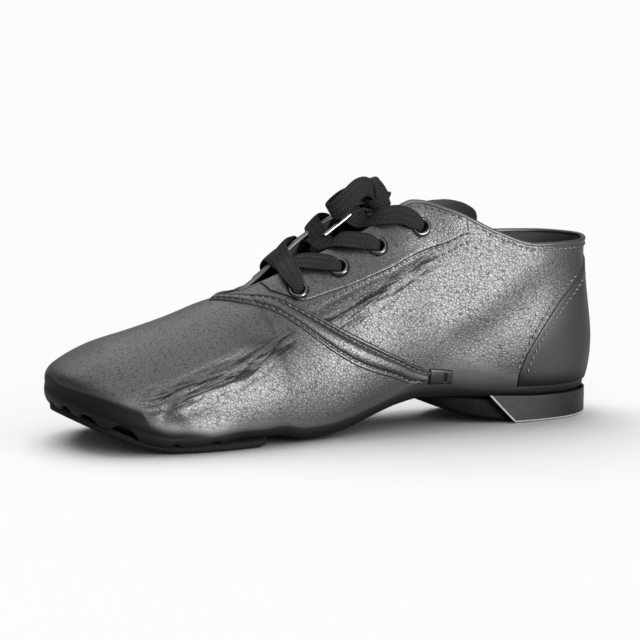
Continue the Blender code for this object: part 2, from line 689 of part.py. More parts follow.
def turned_loops(centre, axis, profile):
    """Rings of points about an axis, one for each radius and height of a profile."""
    side, other = ring_frame(axis)
    turns = np.linspace(0, 2 * math.pi, EYELET_SEGMENTS, endpoint=False)
    loops = []
    for turn in turns:
        way = math.cos(turn) * side + math.sin(turn) * other
        loops.append(np.array([centre + way * radius + axis * height for radius, height in profile]))
    return loops


def build_eyelet(name, index, mirrored, material):
    """Rolled metal ring with a short barrel through the wall."""
    centre, axis = eyelet_place(index, mirrored)
    crown = RIM_LIFT + RIM_HEIGHT
    profile = [
        (EYELET_BORE, -EYELET_REACH), (EYELET_BARREL, -EYELET_REACH), (EYELET_BARREL, RIM_LIFT),
        (EYELET_RIM, RIM_LIFT), ((EYELET_RIM + EYELET_BARREL) / 2, crown), (EYELET_BORE, crown - RIM_HEIGHT / 2),
    ]
    loops = turned_loops(centre, axis, profile)
    count = len(profile)
    faces = []
    for i in range(EYELET_SEGMENTS):
        j = (i + 1) % EYELET_SEGMENTS
        for row in range(count):
            after = (row + 1) % count
            faces.append((i * count + row, j * count + row, j * count + after, i * count + after))
    return solid(name, np.vstack(loops), faces, material)


def build_hole_cutter(material):
    """Pins for the lace holes, taken out of the upper and the lacing panels."""
    points = []
    faces = []
    reach = 3 * EYELET_REACH
    for mirrored in (False, True):
        for index in range(len(EYELETS)):
            centre, axis = eyelet_place(index, mirrored)
            loops = turned_loops(centre, axis, [(EYELET_HOLE, -reach), (EYELET_HOLE, reach)])
            first = len(points)
            for low, high in loops:
                points += [low, high]
            count = EYELET_SEGMENTS
            for i in range(count):
                j = (i + 1) % count
                faces.append((first + 2 * i, first + 2 * j, first + 2 * j + 1, first + 2 * i + 1))
            faces.append(tuple(first + 2 * i for i in range(count))[::-1])
            faces.append(tuple(first + 2 * i + 1 for i in range(count)))
    cutter = solid("lace_hole_cutter", np.array(points), faces, material)
    cutter.hide_render = True
    cutter.display_type = "WIRE"
    return cutter


def combine(item, other, operation):
    step = item.modifiers.new(operation.lower(), "BOOLEAN")
    step.operation = operation
    step.solver = "EXACT"
    step.object = other


def curve_through(places, count):
    """Evenly stepped curve through a few places."""
    places = np.asarray(places, float)
    run = np.concatenate([[0], np.cumsum(np.linalg.norm(np.diff(places[:, :3], axis=0), axis=1))])
    slopes = np.gradient(places, run, axis=0)
    at = np.linspace(0, run[-1], count)
    first = np.clip(np.searchsorted(run, at, side="right") - 1, 0, len(run) - 2)
    step = run[first + 1] - run[first]
    return hermite(places, slopes, first, first + 1, step, (at - run[first]) / step)


def ribbon(name, track, width_way, width, thickness, material):
    """Flat lace along a track; width_way points across it."""
    way = np.gradient(track, axis=0)
    way /= np.linalg.norm(way, axis=1, keepdims=True)
    out = np.cross(way, width_way)
    out /= np.linalg.norm(out, axis=1, keepdims=True)
    across = np.cross(out, way)
    loops = []
    for centre, side, up in zip(track, across, out):
        half = side * width / 2
        lift = up * thickness / 2
        bulge = lift * LACE_EDGE
        loops.append(np.array([
            centre - half - bulge, centre - lift, centre + half - bulge,
            centre + half + bulge, centre + lift, centre - half + bulge]))
    return loft(name, loops, material)


def lace_strap(name, start, end, from_eyelet, material):
    """Lace over the throat from one side to an eyelet of the other."""
    Stop = namedtuple("Stop", "position share inner lift")
    low_inner = start[0] == "inner"
    low = EYELETS[start[1]]
    high = EYELETS[end[1]]
    span = high.position - low.position
    leave = low.position + LEAVE_SPAN * span
    edge = low.position + EDGE_SPAN * span
    stops = [
        Stop(leave, 1.0, low_inner, EDGE_LIFT),
        Stop(edge, 1.0, not low_inner, EDGE_LIFT),
        Stop((edge + high.position) / 2, (1.0 + high.share) / 2, not low_inner, LACE_LIFT),
        Stop(high.position, high.share, not low_inner, LACE_LIFT),
    ]
    if from_eyelet:
        stops.insert(0, Stop((low.position + leave) / 2, (1.0 + low.share) / 2, low_inner, LACE_LIFT))
        stops.insert(0, Stop(low.position, low.share, low_inner, LACE_LIFT))
    positions = np.array([RIB_COUNT - stop.position if stop.inner else stop.position for stop in stops])
    shares = np.array([stop.share for stop in stops])
    lifts = np.array([[stop.lift] for stop in stops])
    normals = skin_normal(positions, shares)
    rows = np.hstack([skin(positions, shares) + normals * lifts, normals])
    gap = len(stops) - 4
    middle = (rows[gap] + rows[gap + 1]) / 2
    middle[2] -= LACE_SAG
    if not from_eyelet:
        rows[gap] += (middle - rows[gap]) * 2 * HIDDEN_SHARE
        rows[gap, 2] -= HIDDEN_DROP
    rows = np.insert(rows, gap + 1, middle, axis=0)
    path = curve_through(rows, STRAP_STATIONS)
    way = np.gradient(path[:, :3], axis=0)
    return ribbon(name, path[:, :3], np.cross(path[:, 3:], way), LACE_WIDTH, LACE_THICK, material)


def build_crossing(name, index, material):
    """Two laces that cross over the throat, joined where they meet."""
    first = lace_strap(name, ("outer", index), ("inner", index + 1), index == 0, material)
    second = lace_strap(name + "_partner", ("inner", index), ("outer", index + 1), index == 0, material)
    second.hide_render = True
    second.display_type = "WIRE"
    combine(first, second, "UNION")
    return first


def cord_places(cords):
    share = np.array([LENGTH, BALL_WIDTH, TOP_HEIGHT]) * PERCENT
    return np.array(cords, float) * share


def build_cord(name, cords, width_way, material):
    track = curve_through(cord_places(cords), CORD_STATIONS)
    across = np.tile(np.array(width_way, float), (len(track), 1))
    return ribbon(name, track, across, LACE_WIDTH, LACE_THICK, material)


def build_knot(material):
    """Small pulled knot of the bow."""
    centre = cord_places([KNOT])[0]
    turns = np.linspace(0, 2 * math.pi, KNOT_TURNS, endpoint=False)
    loops = []
    for tilt in np.linspace(-KNOT_REACH, KNOT_REACH, KNOT_RINGS) * math.pi:
        round_way = np.column_stack([np.cos(turns), np.sin(turns)]) * math.cos(tilt)
        ring = np.column_stack([np.full(KNOT_TURNS, math.sin(tilt)), round_way])
        loops.append(centre + ring * np.array(KNOT_SIZE))
    return loft("lace_knot", loops, material)


remove_scene_objects()
black_leather = leather("black_leather", (0.018, 0.018, 0.019), 0.42)
panel_leather = leather("panel_leather", (0.016, 0.016, 0.017), 0.40)
black_rubber = leather("black_rubber", (0.022, 0.021, 0.020), 0.75)
grey_cover = leather("heel_wrap", (0.075, 0.075, 0.075), 0.5)
sock_lining = leather("sock_lining", (0.03, 0.03, 0.03), 0.85)
tongue_leather = leather("tongue_leather", (0.02, 0.02, 0.02), 0.5)
enamel = leather("black_enamel", (0.02, 0.02, 0.02), 0.25, 0.6)
cotton = leather("black_cotton", (0.014, 0.014, 0.014), 0.9)

upper = build_upper(black_leather)
build_forefoot_sole(black_rubber)
build_rear_sole(black_rubber)
build_heel_cover(grey_cover)
build_insole(sock_lining)
build_tongue(tongue_leather)
build_counter(panel_leather)
build_band(panel_leather)
eyestays = []
for side_name, mirrored in (("outer", False), ("inner", True)):
    eyestays.append(panel("eyestay_" + side_name, EYESTAY, mirrored, PANEL_THICK, panel_leather))
    panel("band_tab_" + side_name, TAB, mirrored, TAB_THICK, panel_leather, 2, 5)
    for number in range(len(EYELETS)):
        build_eyelet("eyelet_%s_%d" % (side_name, number + 1), number, mirrored, enamel)
hole_cutter = build_hole_cutter(black_leather)
for pierced in [upper] + eyestays:
    combine(pierced, hole_cutter, "DIFFERENCE")
for number in range(len(EYELETS) - 1):
    build_crossing("lace_crossing_%d" % (number + 1), number, cotton)
build_knot(cotton)
build_cord("lace_loop_inner", LOOP_INNER, (0.0, 0.0, 1.0), cotton)
build_cord("lace_loop_outer", LOOP_OUTER, (0.0, 1.0, 0.0), cotton)
build_cord("lace_end_front", END_FRONT, (0.0, 1.0, 0.0), cotton)
build_cord("lace_end_inner", END_INNER, (1.0, 0.2, 0.0), cotton)
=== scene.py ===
# %% [markdown]
# # Dressing a left jazz boot
# A jazz boot is a low, very soft lace-up shoe for dancers: thin pebbled leather, a sole split
# into two small pads, a low heel and flat cotton laces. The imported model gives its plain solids.
# This lesson puts a finely modelled skin over each of them: leather with folds and gathers,
# panels with stitched edges, rolled eyelets and a laced, tied bow. It starts by loading the solids.

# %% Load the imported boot
import math
from collections import namedtuple

import bpy
import numpy as np
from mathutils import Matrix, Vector


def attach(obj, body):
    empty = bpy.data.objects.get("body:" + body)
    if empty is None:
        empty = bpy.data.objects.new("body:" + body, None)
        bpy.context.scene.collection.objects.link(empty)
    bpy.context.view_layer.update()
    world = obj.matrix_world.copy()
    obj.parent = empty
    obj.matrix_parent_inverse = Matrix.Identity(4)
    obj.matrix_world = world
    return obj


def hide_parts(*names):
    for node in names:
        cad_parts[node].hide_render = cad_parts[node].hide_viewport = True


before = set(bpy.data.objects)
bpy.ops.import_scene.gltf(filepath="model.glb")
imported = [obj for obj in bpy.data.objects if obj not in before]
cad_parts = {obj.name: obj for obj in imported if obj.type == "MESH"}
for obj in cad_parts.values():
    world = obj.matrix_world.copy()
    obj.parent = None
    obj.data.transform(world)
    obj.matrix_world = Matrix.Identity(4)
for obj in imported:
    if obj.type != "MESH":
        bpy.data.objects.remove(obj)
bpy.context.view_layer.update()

# %% [markdown]
# ## The camera
# The boot is seen from its outer side, a little from the front and from just above the floor, with
# a long lens. A camera can be placed by eye, but its angles and distance were worked out so that
# the outline falls on the real one. The aim is then moved to the middle of the boot.

# %% Camera
MM = 0.001
VIEW_TURN = math.radians(22.5)
VIEW_LIFT = math.radians(8.5)
VIEW_DISTANCE = 1.0
VIEW_MIDDLE = Vector((0.0041, -0.0005, 0.0350))
VIEW_AIM = Vector((0.0045, 0.0, 0.0460))
VIEW_LENS = 131.0


def way_to(turn, lift):
    """Direction from the boot, by the turn off its outer side and the lift above the floor."""
    return Vector((math.sin(turn) * math.cos(lift), math.cos(turn) * math.cos(lift), math.sin(lift)))


def add_camera():
    camera = bpy.data.objects.new("side_camera", bpy.data.cameras.new("side_camera"))
    camera.data.lens = VIEW_LENS
    camera.location = VIEW_MIDDLE + way_to(VIEW_TURN, VIEW_LIFT) * VIEW_DISTANCE
    camera.rotation_euler = (VIEW_AIM - camera.location).to_track_quat("-Z", "Y").to_euler()
    bpy.context.scene.collection.objects.link(camera)
    bpy.context.scene.camera = camera
    return camera


camera = add_camera()
print("camera at", [round(v, 3) for v in camera.location])

# %% [markdown]
# ## The last, as a set of ribs
# A shoe is built round a last, the wooden form of a foot. Here the last is a ring of ribs: each
# rib is a curve that starts at the edge of the sole and rises to the vamp's ridge or to the open
# edge. The table gives, for a few ribs, where they start and end and how far their handles pull.
# Any place on the leather then has two numbers: its rib position, counted from the toe along the
# outer side to the heel and back along the inner side, and its share of the way up that rib.

# %% Sizes of the boot
PERCENT = 0.01
LENGTH = 0.248
BALL_WIDTH = 0.082
TOP_HEIGHT = 0.097
BOOT_SIZE = np.array([LENGTH, BALL_WIDTH, TOP_HEIGHT])
WALL = 0.0014
GAP = 0.0004
ORIGIN_ALONG = 0.12086
ORIGIN_SIDE = 0.00049
print("last of", (BOOT_SIZE / MM).round().tolist(), "mm")

# %% Ribs of the last
# The ribs run round the boot from the toe, along the outer side, to the heel
# Facing is in degrees from the toe direction; along is a percentage of the length,
# side of the ball width, height and the pulls (out, up, down) of the top height
Rib = namedtuple("Rib", "facing foot_along foot_side top_along top_side top_height "
                        "foot_out foot_up top_out top_down")
TOE_RIB = Rib(0, 98.8, -4.9, 93.9, -4.9, 38.0, 2.1, 9.3, 8.2, 0.0)
LATERAL_RIBS = [
    Rib(38, 96.8, 20.7, 92.3, -4.9, 39.9, 3.1, 12.4, 15.5, 0.0),
    Rib(62, 91.9, 37.8, 89.1, -4.3, 43.3, 3.1, 16.5, 21.6, 0.0),
    Rib(78, 84.7, 47.0, 83.9, -3.7, 47.0, 3.1, 20.6, 24.7, 0.0),
    Rib(87, 76.6, 50.0, 77.0, -2.4, 52.4, 3.1, 24.7, 26.8, 0.0),
    Rib(94, 69.0, 48.8, 71.0, -1.2, 58.1, 4.1, 25.8, 26.8, 0.0),
    Rib(97, 61.3, 45.7, 65.7, 0.0, 61.9, 5.2, 24.7, 24.7, 0.0),
    Rib(97, 54.4, 41.5, 58.9, 7.3, 69.4, 7.2, 24.7, 17.5, 5.2),
    Rib(96, 47.2, 37.8, 50.8, 10.4, 79.0, 8.2, 25.8, 17.5, 8.2),
    Rib(94, 40.3, 35.4, 42.7, 14.0, 88.9, 8.2, 27.8, 14.4, 12.4),
    Rib(92, 34.3, 34.1, 35.5, 17.7, 100.0, 7.2, 28.9, 9.3, 20.6),
    Rib(91, 27.8, 33.5, 29.0, 25.0, 95.2, 6.2, 28.9, 7.2, 22.7),
    Rib(92, 21.0, 33.5, 21.4, 31.1, 85.6, 6.2, 25.8, 5.2, 20.6),
    Rib(98, 13.7, 32.9, 13.7, 32.9, 79.6, 6.2, 22.7, 3.1, 20.6),
    Rib(122, 4.8, 25.0, 4.4, 24.8, 79.4, 6.7, 20.6, 0.0, 18.6),
]
HEEL_RIB = Rib(180, 0.0, 0.0, -0.2, 0.0, 80.2, 7.7, 20.6, -4.6, 16.5)
MEDIAL_RIBS = [
    Rib(322, 96.2, -27.0, 92.3, -4.9, 39.9, 3.1, 12.4, 15.5, 0.0),
    Rib(298, 91.9, -41.5, 89.1, -4.3, 43.3, 3.1, 16.5, 21.6, 0.0),
    Rib(282, 84.7, -48.2, 83.9, -3.7, 47.0, 3.1, 20.6, 24.7, 0.0),
    Rib(272, 76.6, -48.2, 77.0, -2.4, 52.4, 3.1, 24.7, 26.8, 0.0),
    Rib(266, 69.0, -44.5, 71.0, -1.2, 58.1, 4.1, 25.8, 26.8, 0.0),
    Rib(264, 61.3, -39.0, 65.7, 0.0, 61.9, 5.2, 24.7, 22.7, 0.0),
    Rib(264, 54.4, -34.1, 58.9, -6.1, 72.7, 7.2, 24.7, 15.5, 5.2),
    Rib(266, 47.2, -30.5, 52.0, -11.0, 84.8, 8.2, 25.8, 15.5, 8.2),
    Rib(268, 40.3, -29.3, 44.8, -14.6, 94.0, 8.2, 27.8, 12.4, 12.4),
    Rib(270, 34.3, -29.9, 39.1, -17.1, 97.4, 7.2, 28.9, 8.2, 20.6),
    Rib(270, 27.8, -31.1, 31.0, -24.4, 90.2, 6.2, 28.9, 6.2, 22.7),
    Rib(268, 21.0, -32.3, 21.8, -29.9, 83.0, 6.2, 25.8, 4.1, 20.6),
    Rib(262, 13.7, -32.3, 13.7, -31.7, 81.0, 6.2, 22.7, 3.1, 20.6),
    Rib(238, 4.8, -25.0, 4.4, -24.4, 80.8, 6.7, 20.6, 0.0, 18.6),
]
RIBS = [TOE_RIB] + LATERAL_RIBS + [HEEL_RIB] + MEDIAL_RIBS[::-1]
RIB_COUNT = len(RIBS)
HEEL_POSITION = RIB_COUNT // 2
THROAT = 6
print("ribs in the last:", RIB_COUNT)

# %% [markdown]
# ## Curves between the ribs
# The ribs have to flow into each other. A plain spline swings past its points where they are
# close together, so heights use a curve that keeps to the rises and falls of its rows, and the
# closed ring of ribs uses a periodic spline that is as smooth at the toe as anywhere else.

# %% Curve that keeps to its rows
def blend_slopes(knots, values):
    """Slopes that never overshoot the values between two knots."""
    step = np.diff(knots)
    rise = np.diff(values, axis=0) / step[:, None]
    slopes = np.zeros_like(values)
    slopes[0] = rise[0]
    slopes[-1] = rise[-1]
    for i in range(1, len(knots) - 1):
        before = 2 * step[i] + step[i - 1]
        after = step[i] + 2 * step[i - 1]
        for column in range(values.shape[1]):
            low = rise[i - 1, column]
            high = rise[i, column]
            if low * high > 0:
                slopes[i, column] = (before + after) / (before / low + after / high)
    return slopes


def hermite(values, slopes, first, second, step, share):
    """Cubic between two rows of values with the given end slopes."""
    t = share[:, None]
    h = step[:, None]
    start = (1 + 2 * t) * (1 - t) ** 2 * values[first] + t * (1 - t) ** 2 * h * slopes[first]
    end = t * t * (3 - 2 * t) * values[second] + t * t * (t - 1) * h * slopes[second]
    return start + end


def smooth(knots, values, at):
    """Values between knots, on a curve that keeps to their rises and falls."""
    knots = np.asarray(knots, float)
    values = np.asarray(values, float)
    at = np.clip(np.atleast_1d(np.asarray(at, float)), knots[0], knots[-1])
    first = np.clip(np.searchsorted(knots, at, side="right") - 1, 0, len(knots) - 2)
    step = knots[first + 1] - knots[first]
    share = (at - knots[first]) / step
    return hermite(values, blend_slopes(knots, values), first, first + 1, step, share)


print("halfway between 1 and 4, after 0:", smooth([0, 1, 2], [[0.0], [1.0], [4.0]], 1.5)[0, 0])


# %% Closed curve
def round_spline(values, at):
    """Smooth closed curve through evenly spaced rows."""
    values = np.asarray(values, float)
    count = len(values)
    matrix = 4 * np.eye(count) + np.roll(np.eye(count), 1, 0) + np.roll(np.eye(count), -1, 0)
    slopes = np.linalg.solve(matrix, 3 * (np.roll(values, -1, 0) - np.roll(values, 1, 0)))
    at = np.mod(at, count)
    first = np.floor(at).astype(int) % count
    return hermite(values, slopes, first, (first + 1) % count, np.ones_like(at), at - np.floor(at))


corners = [[1, 1], [-1, 1], [-1, -1], [1, -1]]
print("halfway along a side of a rounded square:", round_spline(corners, np.array([0.5]))[0])

# %% [markdown]
# ## The outer face of the leather
# The seat is the height of the foot's underside: raised at the heel, high in the arch, flat under
# the ball and rising at the toe. It could be drawn as a curve by hand; a short table of levels is
# easier to correct. A second table says how far the leather closes across the arch.

# %% Seat and arch
# Along and height are in percent, as in the ribs
Level = namedtuple("Level", "along height")
SEAT = [
    Level(0.0, 10.3), Level(12.1, 10.5), Level(23.0, 12.0), Level(30.2, 13.4), Level(35.5, 13.8),
    Level(40.3, 11.8), Level(43.5, 9.3), Level(46.8, 6.3), Level(50.0, 3.5), Level(53.2, 1.6),
    Level(56.0, 0.9), Level(59.0, 1.0), Level(61.0, 2.2), Level(62.6, 3.5), Level(64.5, 4.0),
    Level(82.7, 4.0), Level(88.3, 7.6), Level(92.7, 12.3), Level(97.2, 17.5), Level(100.0, 20.8),
]
# From none to all
Closing = namedtuple("Closing", "along share")
ARCH_CLOSING = [Closing(25.0, 0.0), Closing(33.0, 1.0), Closing(59.5, 1.0), Closing(66.5, 0.0)]


def level(table, along):
    """Height of a table of levels at distances from the heel seat."""
    rows = np.array(table, float) * PERCENT
    return smooth(rows[:, 0] * LENGTH, rows[:, 1:] * TOP_HEIGHT, along)[:, 0]


def seat(along):
    """Height of the foot's underside."""
    return level(SEAT, along)


def arch_share(along):
    """Share by which the leather closes across the arch."""
    rows = np.array(ARCH_CLOSING, float)
    return smooth(rows[:, 0] * PERCENT * LENGTH, rows[:, 1:], along)[:, 0]


print("seat at heel, arch and ball:", (seat(np.array([0.1, 0.35, 0.75]) * LENGTH) / MM).round(1), "mm")

# %% [markdown]
# From the seat each rib climbs as one cubic curve with two handles, like a curve in Blender's curve
# editor. Between the ribs of the table, feet and handles are read from the closed spline, and tops
# from the curve along the vamp's ridge or along the open edge.

# %% Ribs at any position
FEATHER_RISE = 0.0045
ARCH_RISE = 0.0060
NUDGE = 0.01
LEAST_RUN = 1e-9
RibCurve = namedtuple("RibCurve", "low low_handle crest_handle crest outward")


def rib_rows():
    """Facing, foot places, top places and pulls of the ribs in the table, in metres."""
    rows = np.array(RIBS, float)
    plan = BOOT_SIZE[:2] * PERCENT
    foot = rows[:, 1:3] * plan
    top = np.column_stack([rows[:, 3:5] * plan, rows[:, 5] * TOP_HEIGHT * PERCENT])
    pulls = rows[:, 6:10] * TOP_HEIGHT * PERCENT
    return rows[:, 0], foot, top, pulls


def side_position(position):
    """Rib position counted from the toe on either side."""
    around = np.mod(position, RIB_COUNT)
    return np.minimum(around, RIB_COUNT - around)


def ridge_and_edge(position, top):
    """Top of each rib: the vamp's ridge, shared by both sides, then the open edge."""
    from_toe = side_position(position)
    on_ridge = from_toe <= THROAT
    knots = np.arange(THROAT + 1.0)
    ridge, behind, ahead = (smooth(knots, top[:THROAT + 1], from_toe + step) for step in (0, NUDGE, -NUDGE))
    run = behind - ahead
    slope = run[:, 2] / np.minimum(run[:, 0], -LEAST_RUN)
    edge_rows = top[THROAT:RIB_COUNT - THROAT + 1]
    edge = smooth(np.arange(len(edge_rows)), edge_rows, np.mod(position, RIB_COUNT) - THROAT)
    return np.where(on_ridge[:, None], ridge, edge), np.where(on_ridge, slope, 0.0), on_ridge


def rib_parts(position):
    """Foot, handles, top and direction of ribs at any positions round the boot."""
    position = np.atleast_1d(np.asarray(position, float))
    facing, foot, top, pulls = rib_rows()
    turn = 360.0 / RIB_COUNT
    steady = facing - turn * np.arange(RIB_COUNT)
    angle = np.radians(round_spline(steady[:, None], position)[:, 0] + turn * np.mod(position, RIB_COUNT))
    outward = np.column_stack([np.cos(angle), np.sin(angle)])
    place = round_spline(foot, position)
    pull = round_spline(pulls, position)
    crest, slope, on_ridge = ridge_and_edge(position, top)
    rise = FEATHER_RISE + (ARCH_RISE - FEATHER_RISE) * arch_share(place[:, 0])
    low = np.column_stack([place, seat(place[:, 0]) + rise])
    low_handle = low + np.column_stack([outward * pull[:, :1], pull[:, 1]])
    fall = np.where(on_ridge, -slope * outward[:, 0] * pull[:, 2], pull[:, 3])
    crest_handle = crest + np.column_stack([outward * pull[:, 2:3], -fall])
    return RibCurve(low, low_handle, crest_handle, crest, outward)


ball_rib = rib_parts(4)
print("rib at the ball rises", ((ball_rib.crest - ball_rib.low)[0, 2] / MM).round(1), "mm")


# %% Outer face
def unit(rows):
    """Rows of length one."""
    return rows / np.maximum(np.linalg.norm(rows, axis=-1, keepdims=True), 1e-12)


def skin(position, share):
    """Points of the outer face: rib position and share of the way up the rib."""
    position, share = np.broadcast_arrays(np.asarray(position, float), np.asarray(share, float))
    rib = rib_parts(position.ravel())
    t = share.ravel()[:, None]
    near = (1 - t) ** 3 * rib.low + 3 * (1 - t) ** 2 * t * rib.low_handle
    far = 3 * (1 - t) * t * t * rib.crest_handle + t ** 3 * rib.crest
    return (near + far).reshape(position.shape + (3,))


def skin_normal(position, share):
    """Outward direction of the outer face."""
    share = np.clip(share, NUDGE, 1 - NUDGE)
    along = skin(position + NUDGE, share) - skin(position - NUDGE, share)
    up = skin(position, share + NUDGE) - skin(position, share - NUDGE)
    return unit(np.cross(along, up))


def centred(points):
    """From distances off the heel seat to the frame of the whole boot."""
    return np.asarray(points, float) - np.array([ORIGIN_ALONG, ORIGIN_SIDE, 0.0])


print("toe at", centred(skin(0, 0.5)).round(4), "heel at", centred(skin(HEEL_POSITION, 0.5)).round(4))

# %% [markdown]
# Under the foot the leather turns in as a margin, which the maker glues to the sole. Under toes and
# heel it is a narrow rim; across the arch the two margins meet in a seam. It is worked out from the
# same ribs, so it always joins the wall.

# %% Margin under the foot
TURN_WIDTH = 0.007
LASTING_MARGIN = 0.011
ARCH_SEAM = 0.0008


def margin(position, share):
    """Points under the foot: -1 at the inner edge, 0 where the turn starts, 1 where the wall starts."""
    position = np.atleast_1d(np.asarray(position, float))
    rib = rib_parts(position)
    low = rib.low
    other = rib_parts(RIB_COUNT - position).low
    half = np.abs(low[:, 1] - other[:, 1]) / 2 - ARCH_SEAM
    width = LASTING_MARGIN + arch_share(low[:, 0]) * (half - LASTING_MARGIN)
    reach = TURN_WIDTH + (width - TURN_WIDTH) * max(-share, 0.0)
    flat = low[:, :2] - rib.outward * reach[:, None]
    flat = np.column_stack([flat, seat(flat[:, 0])])
    corner = np.column_stack([low[:, :2], seat(low[:, 0])])
    w = max(share, 0.0)
    return (1 - w) ** 2 * flat + 2 * w * (1 - w) * corner + w * w * low


print("margin at the ball reaches", (np.linalg.norm(margin(4, -1.0) - margin(4, 1.0)) / MM).round(1), "mm in")

# %% [markdown]
# ## From grids of points to closed pieces
# Most pieces are thin sheets with a thickness. A modifier could thicken them, but a shell made in
# code keeps inside and outside apart, so that each can have its own material, and its edges
# are closed round every hole. The points are worked out from the heel seat, and they are moved to
# the frame of the whole boot only when a mesh is made from them.

# %% Faces of a grid
def grid_of(shape):
    """Point numbers of a grid, row by row."""
    return np.arange(shape[0] * shape[1]).reshape(shape[:2])


def quads_of(index, closed=False):
    """Four-cornered faces of a grid of point numbers; closed joins the last row to the first."""
    after = np.roll(index, -1, axis=0) if closed else index[1:]
    here = index if closed else index[:-1]
    return np.stack([here[:, :-1], after[:, :-1], after[:, 1:], here[:, 1:]], axis=-1).reshape(-1, 4)


def border_edges(quads):
    """Edges that only one face has."""
    pairs = np.concatenate([quads[:, [i, (i + 1) % 4]] for i in range(4)])
    pairs = pairs[pairs[:, 0] != pairs[:, 1]]
    size = pairs.max() + 1
    forward = pairs[:, 0] * size + pairs[:, 1]
    return pairs[~np.isin(forward, pairs[:, 1] * size + pairs[:, 0])]


def point_normals(points, quads):
    corner = points[quads]
    area = np.cross(corner[:, 2] - corner[:, 0], corner[:, 3] - corner[:, 1])
    total = np.zeros_like(points)
    for column in range(4):
        np.add.at(total, quads[:, column], area)
    return unit(total)


print("edges round a grid of 3 by 4 points:", len(border_edges(quads_of(grid_of((3, 4))))))


# %% Closed sheets
def closed_sheet(over, under, quads):
    """Points and faces of two sheets with the same faces, joined along their open edges."""
    count = len(over)
    edge = border_edges(quads)
    rim = np.column_stack([edge[:, 1], edge[:, 0], edge[:, 0] + count, edge[:, 1] + count])
    return np.vstack([over, under]), np.vstack([quads, quads[:, ::-1] + count, rim])


def shell_of(points, quads, thickness):
    """A sheet and its inner side, as one closed sheet."""
    return closed_sheet(points, points - point_normals(points, quads) * thickness, quads)


def lined(faces, quads):
    """Material numbers of a closed sheet: the lining on its under side, leather elsewhere."""
    slots = np.zeros(len(faces), int)
    slots[len(quads):2 * len(quads)] = 1
    return slots


square = np.eye(4, 3)
print("faces of a lone square as a closed sheet:", len(closed_sheet(square, -square, grid_of((1, 4)))[1]))


# %% Pieces
def volume_of(points, quads):
    a, b, c, d = (points[quads[:, i]] for i in range(4))
    return np.sum(np.cross(b, c) * a) + np.sum(np.cross(c, d) * a)


def make_piece(name, points, faces, materials, slots=None, **numbers):
    """Smooth-shaded mesh object; slots picks a material for each face, numbers are kept on its points."""
    faces = np.asarray(faces)
    if volume_of(points, faces) < 0:
        faces = faces[:, ::-1]
    corners = [tuple(dict.fromkeys(face)) for face in faces.tolist()]
    mesh = bpy.data.meshes.new(name)
    mesh.from_pydata(centred(points).tolist(), [], corners)
    for material in materials:
        mesh.materials.append(material)
    if slots is not None:
        mesh.polygons.foreach_set("material_index", np.asarray(slots, np.int32))
    mesh.polygons.foreach_set("use_smooth", np.ones(len(corners), bool))
    for key, values in numbers.items():
        attribute = mesh.attributes.new(key, "FLOAT", "POINT")
        attribute.data.foreach_set("value", np.asarray(values, np.float32))
    mesh.update()
    piece = bpy.data.objects.new(name, mesh)
    bpy.context.scene.collection.objects.link(piece)
    return piece


def stands_for(piece, slot, *nodes):
    """The boot carries the piece, which takes the place of these solids; slot is not used."""
    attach(piece, "root")
    if nodes:
        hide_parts(*nodes)
    print(piece.name, len(piece.data.polygons), "faces")
    return piece


print("meshes before dressing:", len(bpy.data.meshes))

# %% [markdown]
# ## Small tools for materials
# A material is a tree of nodes, and most of its nodes only add, multiply or stretch a value. These
# helpers make one such node each and return its output, so that a finish reads like a sum.

# %% Node tools
def add_node(tree, kind, inputs=None, **settings):
    node = tree.nodes.new(kind)
    for key, value in settings.items():
        setattr(node, key, value)
    for key, value in (inputs or {}).items():
        if isinstance(value, bpy.types.NodeSocket):
            tree.links.new(value, node.inputs[key])
        else:
            node.inputs[key].default_value = value
    return node


def start_material(name, colour, roughness):
    material = bpy.data.materials.new(name)
    material.use_nodes = True
    shader = material.node_tree.nodes["Principled BSDF"]
    shader.inputs["Base Color"].default_value = (*colour, 1.0)
    shader.inputs["Roughness"].default_value = roughness
    material.diffuse_color = (*colour, 1.0)
    return material, material.node_tree, shader


def combined(tree, operation, first, *others):
    """Math nodes that take the values one after the other."""
    for other in others:
        first = add_node(tree, "ShaderNodeMath", {0: first, 1: other}, operation=operation).outputs[0]
    return first


def times(tree, *values):
    return combined(tree, "MULTIPLY", *values)


def plus(tree, *values):
    return combined(tree, "ADD", *values)


def ramp(tree, value, low, high, to_low=0.0, to_high=1.0):
    """Soft step from one value to another."""
    node = add_node(tree, "ShaderNodeMapRange", {
        "Value": value, "From Min": low, "From Max": high, "To Min": to_low, "To Max": to_high},
        interpolation_type="SMOOTHSTEP")
    return node.outputs["Result"]


shader_nodes = [kind for kind in dir(bpy.types) if kind.startswith("ShaderNode")]
print("kinds of shader nodes to choose from:", len(shader_nodes))


# %% Colour, noise and bump
def grey(value):
    return (value, value, value)


def object_place(tree):
    """Place on the boot, which turns and moves with it."""
    return add_node(tree, "ShaderNodeTexCoord").outputs["Object"]


def noise(tree, place, scale, detail, **settings):
    return add_node(
        tree, "ShaderNodeTexNoise", {"Vector": place, "Scale": scale, "Detail": detail}, **settings).outputs


def two_tone(tree, share, low, high):
    """Colour between two, by a share."""
    node = add_node(tree, "ShaderNodeMix", {0: share}, data_type="RGBA")
    for socket, colour in zip([s for s in node.inputs if s.type == "RGBA"], (low, high)):
        socket.default_value = (*colour, 1.0)
    return [s for s in node.outputs if s.type == "RGBA"][0]


def raise_bump(tree, shader, height, strength, depth):
    bump = add_node(tree, "ShaderNodeBump", {"Height": height, "Strength": strength, "Distance": depth})
    tree.links.new(bump.outputs["Normal"], shader.inputs["Normal"])


print("grey of the cracks in the leather:", grey(0.004))
